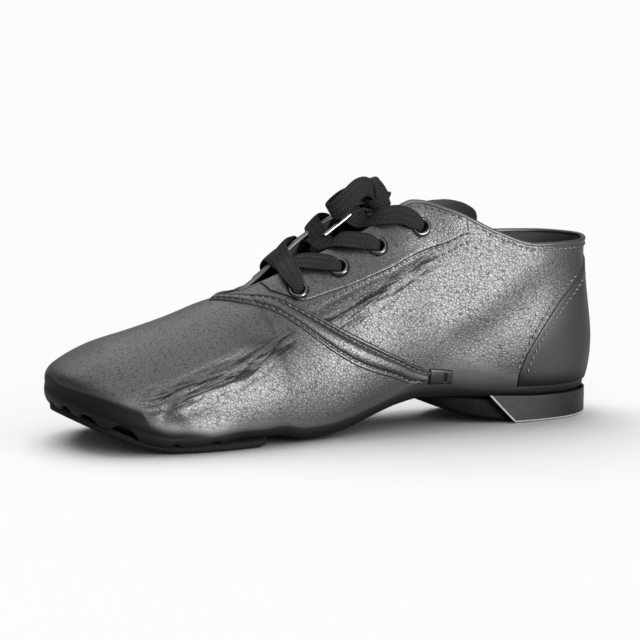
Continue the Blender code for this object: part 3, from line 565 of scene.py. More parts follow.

# %% [markdown]
# ## Pebbled leather
# The leather is a coated one with a printed pebble: small rounded cells, a millimetre or two
# across, parted by fine cracks and drawn out along the pull of the last. Voronoi textures give the
# distance to the cracks, which are sunk, and are also painted darker and given less gloss: painted
# shade in the cracks. A picture of leather would repeat and stretch; a texture worked out from the
# place on the boot does neither.

# %% Pebble
PEBBLES_PER_METRE = 860.0
PEBBLE_DRAW = 0.66
PEBBLE_LEAN = math.radians(38)
WANDER = 1.3
WANDER_SCALE = 0.55
FINE_CELLS = 2.3
CRACK_WIDTH = 0.15
FINE_CRACK = 0.4
WORN_SCALE = 0.8
WORN_RANGE = (0.38, 0.62, 0.55, 1.0)


def pebble_space(tree):
    """Place on the boot, turned to the pull of the last and counted in pebbles."""
    lean = add_node(tree, "ShaderNodeMapping", {
        "Vector": object_place(tree), "Rotation": (0.0, PEBBLE_LEAN, 0.0)})
    size = PEBBLES_PER_METRE
    return add_node(tree, "ShaderNodeMapping", {
        "Vector": lean.outputs[0], "Scale": (size * PEBBLE_DRAW, size, size)}).outputs[0]


def pebble_cells(tree, place):
    """Distance to the open cracks, and the strength of open and fine cracks together."""
    wander = noise(tree, place, WANDER_SCALE, 2.0)["Color"]
    push = add_node(tree, "ShaderNodeVectorMath", {0: wander, 1: (WANDER,) * 3}, operation="MULTIPLY")
    bent = add_node(tree, "ShaderNodeVectorMath", {0: place, 1: push.outputs[0]}, operation="ADD").outputs[0]
    away, fine_away = (
        add_node(tree, "ShaderNodeTexVoronoi", {"Vector": bent, "Scale": scale}, feature="DISTANCE_TO_EDGE")
        .outputs["Distance"] for scale in (1.0, FINE_CELLS))
    worn = ramp(tree, noise(tree, place, WORN_SCALE, 3.0)["Fac"], *WORN_RANGE)
    open_crack = ramp(tree, away, 0.0, CRACK_WIDTH, 1.0, 0.0)
    fine_crack = ramp(tree, fine_away, 0.0, CRACK_WIDTH, FINE_CRACK, 0.0)
    return away, times(tree, combined(tree, "MAXIMUM", open_crack, fine_crack), worn)


print("pebbles of about", round(1000 / PEBBLES_PER_METRE, 2), "mm")

# %% [markdown]
# Numbers kept on the mesh steer the leather: grain fades the pebble where the leather is pulled
# smooth, and is taken away in the pleats' hollows; where it is low the leather is painted duller,
# as shade. Wrinkle says where it is finely wrinkled. There a noise texture, drawn out long because
# it is counted across (fan) and along (run) the folds, raises soft lines, and the hollows between
# them are painted duller: painted shade in the folds.

# %% Leather
FINE_SCALE = 3.2
CRACK_HEIGHT = -0.3
DOME_HEIGHT = 0.6
FINE_HEIGHT = 0.24
WRINKLE_HEIGHT = 5.0
LEATHER_BUMP = 0.8
FOLD_SHADE_RANGE = (0.38, 0.58, 1.0, 0.0)
GRAIN_AND_SHADE_GLOSS = (0.0, 0.45, 0.02, 0.5)
CRACK_SHADE_GLOSS = (0.0, 1.0, 1.0, 0.45)
FOLD_SHADE_GLOSS = (0.0, 1.0, 1.0, 0.20)
SMOOTH_MATTE = 0.12
CRACK_MATTE = 0.2
FINE_MATTE = 0.08
LEATHER_DEPTH = 0.00009


def pebbled_leather(name, colour, roughness):
    """Coated leather whose pebble and wrinkles follow the numbers on the mesh."""
    material, tree, shader = start_material(name, colour, roughness)
    place = pebble_space(tree)
    grain, wrinkle, fan, run = (
        add_node(tree, "ShaderNodeAttribute", attribute_name=key).outputs["Fac"]
        for key in ("grain", "wrinkle", "fan", "run"))
    away, cracks = pebble_cells(tree, place)
    sunk = times(tree, cracks, grain)
    dome = times(tree, ramp(tree, away, 0.0, 0.5), grain)
    fine = noise(tree, place, FINE_SCALE, 4.0)["Fac"]
    lay = add_node(tree, "ShaderNodeCombineXYZ", {"X": fan, "Y": run}).outputs[0]
    folds = noise(tree, lay, 1.0, 3.0, noise_dimensions="2D")["Fac"]
    # Hollows between the soft lines of the folds, painted duller: painted shade.
    fold_shade = times(tree, ramp(tree, folds, *FOLD_SHADE_RANGE), wrinkle)
    height = plus(
        tree, times(tree, sunk, CRACK_HEIGHT), times(tree, dome, DOME_HEIGHT),
        times(tree, fine, FINE_HEIGHT), times(tree, folds, wrinkle, WRINKLE_HEIGHT))
    raise_bump(tree, shader, height, LEATHER_BUMP, LEATHER_DEPTH)
    # The cracks are painted darker grey than the leather: painted shade in them.
    tree.links.new(two_tone(tree, sunk, colour, grey(0.004)), shader.inputs["Base Color"])
    # Less gloss in the cracks, in the fold hollows and where the grain is low is painted shade.
    gloss = times(
        tree, ramp(tree, grain, *GRAIN_AND_SHADE_GLOSS), ramp(tree, sunk, *CRACK_SHADE_GLOSS),
        ramp(tree, fold_shade, *FOLD_SHADE_GLOSS))
    tree.links.new(gloss, shader.inputs["Specular IOR Level"])
    matte = ramp(tree, grain, 0.2, 0.9, roughness + SMOOTH_MATTE, roughness)
    dull = plus(tree, times(tree, sunk, CRACK_MATTE), matte, times(tree, fine, FINE_MATTE))
    tree.links.new(dull, shader.inputs["Roughness"])
    return material


upper_leather = pebbled_leather("upper_leather", (0.011, 0.011, 0.0112), 0.42)
panel_leather = pebbled_leather("panel_leather", (0.010, 0.010, 0.0102), 0.38)
print("nodes in the leather:", len(upper_leather.node_tree.nodes))

# %% [markdown]
# ## The plainer finishes
# Lining and sock are black cloth, the pads are dull rubber with a dusty grain, the heel has a smooth
# grey wrap whose cut edges show their pale core, and the eyelets are black enamel worn on their
# rims. Each is a small node tree of its own, so that no surface is one flat colour.

# %% Cloth, rubber, wrap and thread
def speckled(name, low, high, roughness, scale, depth, gloss=0.5):
    """Dull surface with a fine uneven grain in its colour and bump."""
    material, tree, shader = start_material(name, high, roughness)
    speck = noise(tree, object_place(tree), scale, 4.0)["Fac"]
    tree.links.new(two_tone(tree, ramp(tree, speck, 0.3, 0.7), low, high), shader.inputs["Base Color"])
    raise_bump(tree, shader, speck, 0.6, depth)
    shader.inputs["Specular IOR Level"].default_value = gloss
    return material


lining_cloth = speckled("lining_cloth", grey(0.008), grey(0.018), 0.92, 1800.0, 0.0003)
sock_cloth = speckled("sock_cloth", grey(0.010), (0.024, 0.024, 0.023), 0.90, 1500.0, 0.0003)
pad_rubber = speckled("pad_rubber", grey(0.003), grey(0.008), 0.85, 900.0, 0.0003, 0.1)
shank_rubber = speckled(
    "shank_rubber", (0.004, 0.005, 0.005), (0.010, 0.012, 0.011), 0.65, 700.0, 0.0002, 0.03)
heel_wrap = speckled("heel_wrap", (0.020, 0.023, 0.022), (0.032, 0.035, 0.033), 0.50, 500.0, 0.0001, 0.10)
cut_edge = speckled("cut_edge", (0.55, 0.54, 0.50), (0.90, 0.89, 0.84), 0.70, 1400.0, 0.0003)
# The thread is painted grey, lighter than black, to stand for its glints: a painted highlight.
black_thread = speckled("black_thread", grey(0.020), grey(0.085), 0.45, 3000.0, 0.0001)
print("speckled finishes made, the palest is", cut_edge.name)


# %% Enamel
def enamel():
    """Black paint on metal, polished unevenly."""
    material, tree, shader = start_material("black_enamel", (0.016, 0.016, 0.017), 0.26)
    worn = noise(tree, object_place(tree), 420.0, 3.0)["Fac"]
    tree.links.new(ramp(tree, worn, 0.35, 0.7, 0.20, 0.36), shader.inputs["Roughness"])
    shader.inputs["Metallic"].default_value = 0.3
    shader.inputs["Coat Weight"].default_value = 0.25
    return material


black_enamel = enamel()
print("enamel of the eyelets:", black_enamel.name)

# %% [markdown]
# The laces are a woven cotton braid, whose threads lie in rows of small chevrons. The laces carry a
# UV map in millimetres, across and along, so the pattern turns with every bend. Across is folded
# into columns and added to the length, and a sine makes the slanting threads. The threads are painted
# lighter and the gaps between them darker: a painted highlight on the threads, painted shade between.

# %% Braided lace
BRAID_COLUMN = 1.35
BRAID_PITCH = 1.25
BRAID_SLANT = 0.8
BRAID_DEPTH = 0.0006


def braid():
    """Woven cotton, by the braid map of a lace."""
    material, tree, shader = start_material("black_braid", grey(0.016), 0.82)
    uv = add_node(tree, "ShaderNodeUVMap", uv_map="braid").outputs["UV"]
    part = add_node(tree, "ShaderNodeSeparateXYZ", {"Vector": uv}).outputs
    column = combined(tree, "PINGPONG", times(tree, part["X"], 1 / BRAID_COLUMN), 1.0)
    run = plus(tree, times(tree, part["Y"], 1 / BRAID_PITCH), times(tree, column, BRAID_SLANT))
    wave = add_node(tree, "ShaderNodeMath", {0: times(tree, run, 2 * math.pi)}, operation="SINE").outputs[0]
    crest = ramp(tree, column, 0.0, 0.5, 0.45, 1.0)
    thread = times(tree, ramp(tree, wave, -0.9, 0.9), crest)
    raise_bump(tree, shader, thread, 1.0, BRAID_DEPTH)
    # Lighter threads over dark gaps: painted highlight and painted shade on the weave.
    tree.links.new(two_tone(tree, thread, grey(0.002), (0.034, 0.034, 0.0345)), shader.inputs["Base Color"])
    shader.inputs["Specular IOR Level"].default_value = 0.15
    return material


black_braid = braid()
print("materials:", len(bpy.data.materials))

# %% [markdown]
# ## Folds, gathers and pulls
# Soft leather never lies like a board. Walking has pressed long folds from the little toe towards
# the throat, lacing has drawn fine wrinkles under the eyelets, and the sole's maker has gathered
# the toe's lower edge in small pleats. Cloth simulation would give folds somewhere; these are set
# where they belong. Each crease is a trough with a soft ridge on both sides, measured in
# millimetres, along a line of places on the last. A negative depth turns it into a ridge.

# %% Crease lines
Crease = namedtuple("Crease", "width depth places taper", defaults=[0.22])
# Two guide lines of the forefoot's fan of wrinkles, and each fold's share of the way between them
FAN_LOW = [
    (2.85, 0.07), (3.25, 0.15), (3.70, 0.19), (4.25, 0.225),
    (4.85, 0.26), (5.45, 0.32), (6.05, 0.40), (6.6, 0.475),
]
FAN_HIGH = [
    (2.30, 0.27), (2.95, 0.35), (3.50, 0.38), (4.00, 0.405),
    (4.60, 0.435), (5.25, 0.48), (5.85, 0.52), (6.4, 0.575),
]
Fold = namedtuple("Fold", "share width depth")
FAN = [Fold(0.05, 1.6, 0.20), Fold(0.38, 2.2, 0.40), Fold(0.78, 3.2, 0.62)]


def fan_line(share):
    low, high = np.array(FAN_LOW), np.array(FAN_HIGH)
    return low + (high - low) * share


CREASES = [Crease(fold.width, fold.depth, fan_line(fold.share)) for fold in FAN] + [
    Crease(5.5, -0.80, [(3.62, 0.25), (3.48, 0.15), (3.34, 0.05)], 0.4),
    Crease(1.7, 0.22, [(3.0, 0.075), (3.1, 0.155), (3.35, 0.225)]),
    Crease(5.0, 0.80, [(4.85, 0.62), (5.2, 0.59), (5.55, 0.56), (5.95, 0.53), (6.3, 0.50)], 0.5),
    Crease(1.3, 0.45, [(6.8, 0.62), (7.4, 0.63), (8.1, 0.638), (8.85, 0.645), (9.65, 0.65), (10.45, 0.75)]),
    Crease(1.2, 0.38, [(7.05, 0.59), (7.6, 0.60), (8.2, 0.60), (8.9, 0.613), (9.65, 0.625)]),
    Crease(1.2, 0.32, [(7.3, 0.56), (7.8, 0.57), (8.35, 0.57), (8.9, 0.58)]),
    Crease(8.0, 0.52, [(13.75, 0.79), (13.05, 0.63), (12.25, 0.41), (11.45, 0.245), (10.6, 0.10)]),
    Crease(5.5, 0.30, [(13.4, 0.82), (12.8, 0.68), (12.0, 0.46), (11.2, 0.29), (9.95, 0.155)]),
    Crease(4.0, -0.38, [(0.0, 0.33), (0.8, 0.20), (1.4, 0.19), (2.1, 0.18), (2.6, 0.17)]),
]
print("creases on each side:", len(CREASES))

# %% Height of a crease
RIDGE_SHARE = 0.42
RIDGE_PLACE = 1.9
INNER_SHARE = 0.8
CREASE_REACH = 4
LINE_STEPS = 80


def eased_step(value):
    value = np.clip(value, 0.0, 1.0)
    return value * value * (3 - 2 * value)


def on_side(position, mirrored):
    """A rib position of the outer side, or the same one on the inner side."""
    return RIB_COUNT - position if mirrored else position


def line_on_skin(places, count, mirrored):
    """Rib positions and shares of a smooth line through a few places."""
    table = np.array(places, float)
    row = smooth(np.arange(len(table)), table, np.linspace(0, len(table) - 1, count))
    return on_side(row[:, 0], mirrored), row[:, 1]


def crease_height(points, crease, mirrored):
    """Height that one crease adds at points of the skin."""
    track = skin(*line_on_skin(crease.places, LINE_STEPS, mirrored))
    width = crease.width * MM
    reach = CREASE_REACH * width
    near = np.all((points > track.min(0) - reach) & (points < track.max(0) + reach), axis=1)
    height = np.zeros(len(points))
    if not near.any():
        return height
    gaps = np.linalg.norm(points[near][:, None] - track[None], axis=2)
    away = gaps.min(axis=1) / width
    share = gaps.argmin(axis=1) / (len(track) - 1)
    fade = eased_step(np.minimum(share, 1 - share) / crease.taper)
    shape = RIDGE_SHARE * np.exp(-(away - RIDGE_PLACE) ** 2) - np.exp(-away ** 2)
    height[near] = shape * fade * crease.depth * MM * (INNER_SHARE if mirrored else 1.0)
    return height


fan_fold = CREASES[len(FAN) - 1]
fan_middle = skin(*line_on_skin(fan_fold.places, 3, False))[1:2]
print("height in the fan's widest fold:", (crease_height(fan_middle, fan_fold, False) / MM).round(2), "mm")

# %% Folded leather
WAVE_HEIGHT = 0.16
WAVE_SHIFT = 1.3


def uneven(points):
    """Low crossing waves, several on the boot's length, so that no stretch is quite even."""
    along, side, up = (points / LENGTH).T
    return WAVE_HEIGHT * np.sin(31 * along + 17 * up) * np.sin(23 * side + 29 * up + WAVE_SHIFT) * MM


def relief(position, share):
    """Height of the folded leather over the smooth last."""
    points = skin(position, share).reshape(-1, 3)
    total = np.zeros(len(points))
    for crease in CREASES:
        total += crease_height(points, crease, False) + crease_height(points, crease, True)
    return (total + uneven(points)).reshape(position.shape)


def leather_at(position, share, lift=0.0):
    """Points of the folded leather, or a little above it."""
    position, share = np.broadcast_arrays(np.asarray(position, float), np.asarray(share, float))
    height = relief(position, share) + lift
    return skin(position, share) + skin_normal(position, share) * height[..., None]


print("side of the ball at", centred(leather_at([4.0], [0.3])).round(4))

# %% [markdown]
# The pleats sit in the turn between wall and sole. Between two pleats the leather puffs out and hangs
# a little over the sole's edge; under a pleat's arched lip it sinks in and leaves an almond shaped
# hollow, painted dark: its grain and with it its gloss are taken away there, as painted shade.

# %% Pleats
Pleat = namedtuple("Pleat", "start end depth lip lean")
PLEATS = [
    Pleat(0.08, 0.42, 1.6, 0.42, 1.0), Pleat(0.55, 0.97, 2.2, 0.50, 0.9), Pleat(1.09, 1.72, 2.3, 0.50, 0.8),
    Pleat(1.80, 2.58, 2.3, 0.66, 1.3), Pleat(3.20, 3.38, 1.2, 0.45, 1.0), Pleat(3.84, 4.32, 1.5, 0.45, 1.2),
]
PUFF = 0.0008
DROOP = 0.0022
PUFF_END = 4.9
PUFF_FADE = 0.9
LIP_SOFT = 0.20


def gathered(position, rise):
    """Push outwards, drop and painted shadow of the edge; rise is 0 under the foot, 1 just above the turn."""
    side, rise = np.broadcast_arrays(side_position(position), rise)
    shadow = np.zeros(side.shape)
    near_toe = eased_step((PUFF_END - side) / PUFF_FADE)
    push = PUFF * near_toe
    drop = DROOP * near_toe
    for pleat in PLEATS:
        inside = np.clip((side - pleat.start) / (pleat.end - pleat.start), 0, 1)
        arch = np.sqrt(1 - (2 * inside ** pleat.lean - 1) ** 2)
        sunk = eased_step((arch * (pleat.lip + LIP_SOFT) - rise) / LIP_SOFT) * (arch > 0)
        push = push - (pleat.depth * MM + PUFF) * sunk
        drop = drop * (1 - sunk)
        shadow = np.maximum(shadow, sunk)
    return push, drop, shadow


print("pleats on each side:", len(PLEATS))

# %% [markdown]
# The pebble is pulled out of sight on the toe's wall and low on the quarters, and is a little weaker
# on the vamp. There the leather is also painted duller, as shade on the toe's wall and the low
# quarters. Two tables draw the upper limits of these smooth parts. Painting the strength by hand would
# do as well, but a formula gives the same result in every run.

# %% Strength of the pebble
TOE_EDGE = [
    (0.0, 0.33), (0.8, 0.20), (1.4, 0.19), (2.1, 0.18), (2.6, 0.16), (2.8, 0.08), (3.6, 0.04), (4.2, 0.0),
    (15.0, 0.0),
]
SMOOTH_FOOT = [
    (0.0, 0.0), (8.6, 0.0), (9.6, 0.05), (10.4, 0.09), (11.2, 0.12), (12.1, 0.09), (12.8, 0.06), (15.0, 0.05),
]
# How far below its limit each fade starts, how wide it is, and the least grain below it
Fade = namedtuple("Fade", "below width least")
TOE_FADE = Fade(0.06, 0.13, 0.10)
FOOT_FADE = Fade(0.04, 0.12, 0.30)
VAMP_END = 4.6
VAMP_FADE = 2.0
VAMP_GRAIN = 0.85


def table_at(table, at):
    """Values of a table of pairs, smoothly between its rows."""
    rows = np.array(table, float)
    return smooth(rows[:, 0], rows[:, 1:], at)[:, 0]


def faded(table, fade, side, share):
    """From the least grain below a limit to full grain above it."""
    limit = table_at(table, side.ravel()).reshape(side.shape)
    return fade.least + (1 - fade.least) * eased_step((share - limit + fade.below) / fade.width)


def grain_at(position, share):
    """Strength of the pebble, from none to full."""
    side, share = np.broadcast_arrays(side_position(position), share)
    quarter = VAMP_GRAIN + (1 - VAMP_GRAIN) * eased_step((side - VAMP_END) / VAMP_FADE)
    return faded(TOE_EDGE, TOE_FADE, side, share) * faded(SMOOTH_FOOT, FOOT_FADE, side, share) * quarter


three_places = np.array([(1.0, 0.1), (3.0, 0.6), (9.0, 0.5)]).T
print("grain at toe, vamp and quarter:", grain_at(*three_places).round(2))

# %% Wrinkled fields
FOLDS_ALONG = 1.35
FIELD_MIDDLE = 0.45
FIELD_HALF = 0.95
FIELD_IN = 0.7
FIELD_OUT = 0.8
Wrinkles = namedtuple("Wrinkles", "low high count start end")
WRINKLED = [
    Wrinkles(FAN_LOW, FAN_HIGH, 7, 2.4, 6.9),
    Wrinkles([(6.6, 0.43), (7.6, 0.45), (8.6, 0.49), (9.6, 0.54), (10.6, 0.64)],
             [(6.6, 0.63), (7.6, 0.625), (8.6, 0.635), (9.6, 0.645), (10.6, 0.755)], 6, 6.7, 10.8),
]


def fan_at(position, share):
    """How wrinkled a place is, and its numbers across and along the wrinkles."""
    side, share = np.broadcast_arrays(side_position(position), share)
    strength, fan = np.zeros((2,) + side.shape)
    for field in WRINKLED:
        low, high = (np.interp(side, *np.array(line).T) for line in (field.low, field.high))
        across = (share - low) / (high - low)
        along = eased_step((side - field.start) / FIELD_IN) * eased_step((field.end - side) / FIELD_OUT)
        here = eased_step(1 - np.abs(across - FIELD_MIDDLE) / FIELD_HALF) * along
        fan = np.where(here > strength, across * field.count, fan)
        strength = np.maximum(strength, here)
    return strength, fan, side * FOLDS_ALONG


print("fields of wrinkles on each side:", len(WRINKLED))

# %% [markdown]
# ## The upper
# The ribs stand closer at the toe, where the pleats are, than along the sides. Rows run from the
# margin's inner edge, round the turn, up to the ridge or the open edge. The two halves of the vamp
# share one row of points on the ridge. The lace holes are cut out face by face, and the points
# round each hole are drawn onto a circle, so the hole is clean. A boolean would cut them too, but
# it leaves long thin faces.

# %% Lace holes
EYELETS = [(7.10, 0.785), (8.03, 0.815), (8.93, 0.835), (10.05, 0.835)]
EYELET_HOLE = 0.0034
SIDES = (("outer", False), ("inner", True))


def eyelet_place(index, mirrored):
    """Middle of an eyelet on the leather, with its outward direction."""
    position = np.array([on_side(EYELETS[index][0], mirrored)])
    share = np.array([EYELETS[index][1]])
    return skin(position, share)[0], skin_normal(position, share)[0]


EYELET_PLACES = [
    eyelet_place(index, mirrored) for side_name, mirrored in SIDES for index in range(len(EYELETS))]


def pierce(points, quads):
    """Cuts a round hole at each eyelet."""
    points = points.copy()
    for centre, axis in EYELET_PLACES:
        offset = points - centre
        height = offset @ axis
        flat = offset - height[:, None] * axis
        away = np.linalg.norm(flat, axis=1)
        close = np.abs(height) < 2 * EYELET_HOLE
        inside = close & (away < EYELET_HOLE)
        quads = quads[~inside[quads].any(axis=1)]
        rim = np.unique(border_edges(quads))
        rim = rim[close[rim] & (away[rim] < 2 * EYELET_HOLE)]
        points[rim] = centre + flat[rim] / away[rim, None] * EYELET_HOLE + height[rim, None] * axis
    return points, quads


def used_only(points, quads, *values):
    """Leaves out the points that no face uses."""
    used, flat = np.unique(quads, return_inverse=True)
    return (points[used], flat.reshape(quads.shape)) + tuple(value[used] for value in values)


print("lace holes:", len(EYELET_PLACES))

# %% Rows of the upper
RIB_STEPS = [(0.0, 2.6, 24), (2.6, 6.6, 20), (6.6, 12.0, 9), (12.0, 15.0, 10)]
FEATHER_LEVEL = 0.85
LIP_SHARE = 0.035
DROOP_ROWS = [
    (-1.0, 0.0), (0.0, 0.0), (0.15, 0.25), (0.35, 0.65), (0.5, 1.0), (0.75, 0.8), (1.0, 0.45)]
TURN_GRAIN = 0.1
LOBE_START = 0.02
LOBE_FADE = 0.35
WALL_FADE = 0.10


def upper_positions():
    """Rib positions right round the boot, closer together at the toe."""
    half = np.concatenate([np.arange(start, end, 1 / count) for start, end, count in RIB_STEPS])
    return np.concatenate([half, [HEEL_POSITION], RIB_COUNT - half[:0:-1]])


def turn_row(positions, w):
    """One row of the turned margin, with its lobes and pleats."""
    push, drop, shadow = gathered(positions, w * FEATHER_LEVEL)
    shift = rib_parts(positions).outward * (push * eased_step((w - LOBE_START) / LOBE_FADE))[:, None]
    hang = -drop * table_at(DROOP_ROWS, [w])
    # Grain, and with it gloss, is taken away under the pleats' lips: painted shade in the hollows.
    return margin(positions, w) + np.column_stack([shift, hang]), TURN_GRAIN * (1 - shadow)


def wall_rows(positions, shares):
    """Rows from the turn to the ridge or the open edge."""
    rise = FEATHER_LEVEL + (1 - FEATHER_LEVEL) * shares / LIP_SHARE
    push, drop, shadow = gathered(positions[:, None], rise[None])
    fade = 1 - eased_step(shares / WALL_FADE)
    wall = leather_at(positions[:, None], shares[None])
    wall[..., :2] += rib_parts(positions).outward[:, None] * (push * fade)[..., None]
    wall[..., 2] -= drop * fade * DROOP_ROWS[-1][1]
    # Grain, and with it gloss, is taken away under the pleats' lips: painted shade in the hollows.
    return wall, grain_at(positions[:, None], shares[None]) * (1 - shadow)


print("ribs drawn round the upper:", len(upper_positions()))

# %% Upper
TURN_ROWS = (-1.0, -0.5, 0.0, 0.12, 0.24, 0.34, 0.43, 0.52, 0.61, 0.70, 0.79, 0.88, 0.95)
LOW_ROWS = 54
HIGH_ROWS = 34


def build_upper():
    positions = upper_positions()
    shares = np.concatenate([np.linspace(0, 0.5, LOW_ROWS), np.linspace(0.5, 1, HIGH_ROWS)[1:]])
    wall, wall_grain = wall_rows(positions, shares)
    turn, turn_grain = (np.stack(part, axis=1) for part in zip(*[turn_row(positions, w) for w in TURN_ROWS]))
    grid = np.concatenate([turn, wall], axis=1)
    lays = [np.concatenate([turn_grain, wall_grain], axis=1).ravel()]
    for part in fan_at(positions[:, None], shares[None]):
        lays.append(np.concatenate([np.zeros(turn_grain.shape), part], axis=1).ravel())
    index = grid_of(grid.shape)
    ridge = np.flatnonzero((positions > 0) & (positions <= THROAT))
    index[len(positions) - ridge, -1] = index[ridge, -1]
    points, quads = pierce(grid.reshape(-1, 3), quads_of(index, closed=True))
    points, quads, *lays = used_only(points, quads, *lays)
    shell, faces = shell_of(points, quads, WALL)
    grain, wrinkle, fan, run = (np.tile(lay, 2) for lay in lays)
    return make_piece("leather_upper", shell, faces, [upper_leather, lining_cloth], lined(faces, quads),
                      grain=grain, wrinkle=wrinkle, fan=fan, run=run)


stands_for(build_upper(), "black_leather", "upper")

# %% [markdown]
# ## Panels on the leather
# The lacing panels, the heel counter and the small tabs are thin leather sewn on the upper. A panel
# is a grid of places between two edges, laid on the folded leather, with its height rounded down
# to nothing at the edges like skived leather. The grid is closed below, so it is a solid sheet.

# %% Sheets on the leather
PANEL_ROUND = 0.0009
PANEL_SINK = 0.0003
ROUND_STEPS = np.array([0.0, 0.12, 0.35, 0.65, 1.0])


def run_along(track):
    """Distance from the start of a line to each of its points."""
    return np.concatenate([[0], np.cumsum(np.linalg.norm(np.diff(track, axis=0), axis=1))])


def rounded_shares(length, count):
    """Shares of a length, close together within the rounding at both ends."""
    edge = ROUND_STEPS * PANEL_ROUND / length
    middle = np.linspace(edge[-1], 1 - edge[-1], count)
    return np.concatenate([edge[:-1], middle, 1 - edge[-2::-1]])


def rounded_height(shares, length):
    """Height from 0 at both ends to 1 inside the rounding."""
    inside = np.clip(np.minimum(shares, 1 - shares) * length / PANEL_ROUND, 0, 1)
    return np.sqrt(1 - (1 - inside) ** 2)


def laid_panel(name, positions, shares, height, holes=False, grained=1.0):
    """Closed sheet on the leather, from grids of places and heights."""
    points = leather_at(positions, shares, height).reshape(-1, 3)
    below = leather_at(positions, shares, -PANEL_SINK).reshape(-1, 3)
    quads = quads_of(grid_of(positions.shape))
    if holes:
        points, quads = pierce(points, quads)
        below, quads = pierce(below, quads)
    grain = grained * grain_at(positions, shares).ravel()
    points, quads, below, grain = used_only(points, quads, below, grain)
    return make_piece(name, *closed_sheet(points, below, quads), [panel_leather], grain=np.tile(grain, 2))


print("steps over a panel of 20 mm:", len(rounded_shares(20 * MM, 16)))

# %% Panels between two edges
TRACK_STEPS = 40
Slot = namedtuple("Slot", "along half depth middle reach")


def edged_panel(name, edges, mirrored, thickness, steps, rows, across, holes=False, grained=1.0, slot=None):
    """Panel between two edges given rib by rib; across is its usual width."""
    table = np.array(edges, float)
    start, end = table[0, 0], table[-1, 0]
    length = run_along(leather_at(np.linspace(start, end, TRACK_STEPS), 0.5))[-1]
    u = rounded_shares(length, steps)
    v = rounded_shares(across, rows)
    positions = start + (end - start) * u
    limits = smooth(table[:, 0], table[:, 1:], positions)
    shares = limits[:, :1] + (limits[:, 1:] - limits[:, :1]) * v
    height = thickness * np.minimum(rounded_height(u, length)[:, None], rounded_height(v, across)[None])
    if slot:
        notch = np.exp(-((u[:, None] - slot.along) / slot.half) ** 2)
        height *= 1 - slot.depth * notch * (np.abs(v - slot.middle)[None] < slot.reach)
    around = np.broadcast_to(on_side(positions, mirrored)[:, None], shares.shape)
    return laid_panel(name, around, shares, height, holes, grained)


print("a panel's length is measured in", TRACK_STEPS - 1, "steps")

# %% Heel counter
# Each row gives a rib position and the shares of the lower and the upper edge there
Edge = namedtuple("Edge", "position low high")
COUNTER = [
    Edge(12.45, 0.015, 0.085), Edge(12.60, 0.015, 0.215), Edge(12.85, 0.015, 0.350),
    Edge(13.10, 0.015, 0.470), Edge(13.45, 0.015, 0.620), Edge(13.90, 0.015, 0.735),
    Edge(14.43, 0.015, 0.840), Edge(15.00, 0.015, 0.880),
]
PANEL_THICK = 0.0007


def build_counter():
    """Heel counter, from the outer seam round the back to the inner seam."""
    table = np.array(COUNTER, float)
    table = np.vstack([table, np.column_stack([RIB_COUNT - table[-2::-1, 0], table[-2::-1, 1:]])])
    return edged_panel("counter_panel", table, False, PANEL_THICK, 110, 30, 0.06, grained=0.25)


stands_for(build_counter(), "panel_leather", "heel_counter")

# %% Lacing panels and tabs
EYESTAY = [
    Edge(6.52, 0.860, 0.990), Edge(6.80, 0.775, 0.990), Edge(7.10, 0.705, 0.990), Edge(7.58, 0.695, 0.990),
    Edge(8.22, 0.675, 0.990), Edge(8.97, 0.670, 0.990), Edge(9.68, 0.675, 0.990), Edge(10.50, 0.755, 0.990),
    Edge(11.30, 0.900, 0.990),
]
TAB = [Edge(9.86, 0.006, 0.090), Edge(10.22, 0.006, 0.084), Edge(10.58, 0.006, 0.077)]
TAB_THICK = 0.0013
TAB_SLOT = Slot(0.68, 0.05, 0.8, 0.45, 0.3)
for side_name, mirrored in SIDES:
    stay = edged_panel(
        "lacing_panel_" + side_name, EYESTAY, mirrored, PANEL_THICK, 100, 20, 0.022, holes=True)
    stands_for(stay, "panel_leather", "eyestay_" + side_name)
    tab = edged_panel(
        "small_tab_" + side_name, TAB, mirrored, TAB_THICK, 34, 16, 0.007, grained=0.6, slot=TAB_SLOT)
    stands_for(tab, "panel_leather", "band_tab_" + side_name)

# %% [markdown]
# ## The band over the instep
# Where vamp and quarters meet, a folded strip is sewn over the join. From above it shows a thin
# turned edge, a stitched groove, a puffed strip and a second, lower groove. One table of heights
# across the strip gives this form, and it runs over the ridge from arch to arch.

# %% Vamp band
Strip = namedtuple("Strip", "top_position top_share low_position low_share")
BAND = [
    Strip(5.48, 1.000, 5.05, 1.000), Strip(6.00, 0.900, 5.62, 0.825), Strip(6.50, 0.805, 6.15, 0.715),
    Strip(7.00, 0.665, 6.65, 0.575), Strip(7.62, 0.480, 7.40, 0.350), Strip(8.20, 0.335, 8.05, 0.205),
    Strip(8.80, 0.210, 8.75, 0.095), Strip(9.45, 0.115, 9.25, 0.030), Strip(9.95, 0.065, 9.65, 0.015),
]
# Share across the band, and height in millimetres
BAND_PROFILE = [
    (0.0, 0.0), (0.03, 0.75), (0.09, 1.05), (0.15, 0.85), (0.22, 0.30), (0.30, 0.75), (0.42, 1.35),
    (0.58, 1.50), (0.74, 1.15), (0.84, 0.35), (0.90, 0.55), (0.96, 0.60), (1.0, 0.0),
]
BAND_STEPS = 170
BAND_ROWS = 34
BAND_LENGTH = 0.2


def band_places(across, steps):
    """Rib positions and shares along the band, over the ridge, at shares across it."""
    table = np.array(BAND, float)
    track = smooth(np.arange(len(table)), table, np.linspace(0, len(table) - 1, steps))
    positions = track[:, 0:1] + (track[:, 2:3] - track[:, 0:1]) * across
    shares = track[:, 1:2] + (track[:, 3:4] - track[:, 1:2]) * across
    return np.vstack([positions[::-1], RIB_COUNT - positions[1:]]), np.vstack([shares[::-1], shares[1:]])


